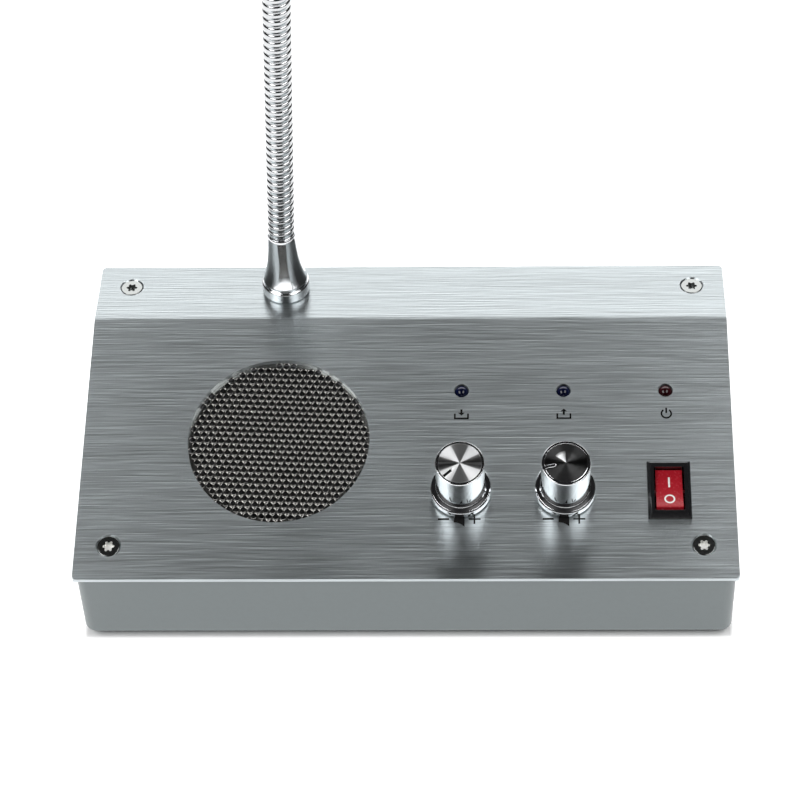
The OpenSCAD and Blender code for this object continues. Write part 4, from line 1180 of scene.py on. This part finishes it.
collar_low, collar_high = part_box("neck_collar")
collar_middle = (collar_low + collar_high) / 2
groove = Matrix.Translation((collar_middle.x, collar_middle.y, collar_low.z + COLLAR_RING_UP * MM))
bm = bmesh.new()
flat_ring(bm, 0, 0, COLLAR_RING_R, COLLAR_RING_W, steps=64)
lay_ink(bm, "collar_groove_painted_shade", "housing", "collar_chrome", painted_shade_black, groove)

# %% [markdown]
# Above each knob stands a plain sign: an arrow into a tray and an arrow out of one. Words would tie
# the object to one language. The switch has the usual power sign above it, and a bar and a ring on
# the rocker.


# %% Signs above the controls
def tray(bm, y):
    """An open tray, 5.2 mm wide, whose corners are cut at 45 degrees."""
    flat_shape(bm, [(-2.6, y - 2.0), (-2.6, y + 0.2), (-2.0, y + 0.2), (-2.0, y - 1.4)])
    flat_shape(bm, [(-2.6, y - 2.0), (-2.0, y - 1.4), (2.0, y - 1.4), (2.6, y - 2.0)])
    flat_shape(bm, [(2.6, y - 2.0), (2.0, y - 1.4), (2.0, y + 0.2), (2.6, y + 0.2)])


def arrow(bm, y, way):
    """An arrow that points up for way 1 and down for way -1."""
    flat_bar(bm, -0.35, 0.35, y - way * 1.1, y + way * 0.2)
    flat_shape(bm, [(-1.15, y + way * 0.2), (1.15, y + way * 0.2), (0, y + way * 1.35)])


SIGN_UP = 30.0
ARROW_UP = 0.75
for side, way in (("in", -1), ("out", 1)):
    bm = bmesh.new()
    tray(bm, SIGN_UP)
    arrow(bm, SIGN_UP + ARROW_UP, way)
    on_slope = panel_matrix(knob_foot[side])
    lay_ink(bm, side + "_sign", "housing", "black_plastic", ink, on_slope)

# %% The power sign
PIVOT_BELOW_PANEL = 1.5
rocker_pivot = Vector(joint["rocker_tilt"]["pos_m"])
bm = bmesh.new()
flat_ring(bm, 0, SIGN_UP, 1.7, 0.6, start=125, end=415)
flat_bar(bm, -0.3, 0.3, SIGN_UP + 0.2, SIGN_UP + 2.3)
on_slope = panel_matrix(rocker_pivot, PIVOT_BELOW_PANEL)
lay_ink(bm, "power_sign", "housing", "black_plastic", ink, on_slope)

# %% [markdown]
# The rocker's top is a shallow hollow, so its bar and ring are bent to the same hollow. A flat bar
# couldn't follow it, so the bar is drawn as four short ones. Both marks ride on the rocker.

# %% Marks on the rocker
ROCKER_TILT = math.radians(-8)
TOP_UP = 2.6
DISH = 0.5
ROCKER_HALF = 7.6
BAR_FOOT = 0.8

bm = bmesh.new()
for k in range(4):
    flat_bar(bm, -0.3, 0.3, BAR_FOOT + k, BAR_FOOT + k + 1)
flat_ring(bm, 0, -4.15, 1.6, 0.55)
bmesh.ops.remove_doubles(bm, verts=bm.verts, dist=1e-4)
for vert in bm.verts:
    vert.co.z += TOP_UP - DISH + DISH * (vert.co.y / ROCKER_HALF) ** 2
tilted = panel_matrix(rocker_pivot) @ Matrix.Rotation(ROCKER_TILT, 4, "X")
lay_ink(bm, "rocker_marks", "rocker", "black_plastic", white_ink, tilted)

# %% [markdown]
# Each cap has a slot that points at the level. A dab of dark paint fills it, nearly to the top on
# the left cap and only at the bottom on the right one, and rides on the knob.

# %% Paint in the pointer slots
SLOT_DEPTH = 0.5
POINTERS = (("in", 228, 0.86, 0.4), ("out", 258, 0.5, 0.1))
for side, degrees, wide, thick in POINTERS:
    bm = bmesh.new()
    flat_bar(bm, -wide / 2, wide / 2, 3.95, 7.2)
    turned = panel_matrix(knob_foot[side]) @ Matrix.Rotation(math.radians(-degrees), 4, "Z")
    painted = turned @ Matrix.Translation((0, 0, top_of_cap(side) - SLOT_DEPTH * MM))
    name = side + "_pointer_paint"
    lay_ink(bm, name, side + "_knob", "black_plastic", ink, painted, thick)

# %% [markdown]
# ## Finishes for the solids that stay
# Every solid that keeps its own mesh gets its finish from its slot in the record. It could be
# chosen by hand for each solid, but the slot already says what each is made of.

# %% Give every solid its finish
for node, solid in nodes.items():
    solid.data.materials.clear()
    solid.data.materials.append(finishes[slot_of[node]])
print("solids with a finish:", len(nodes))
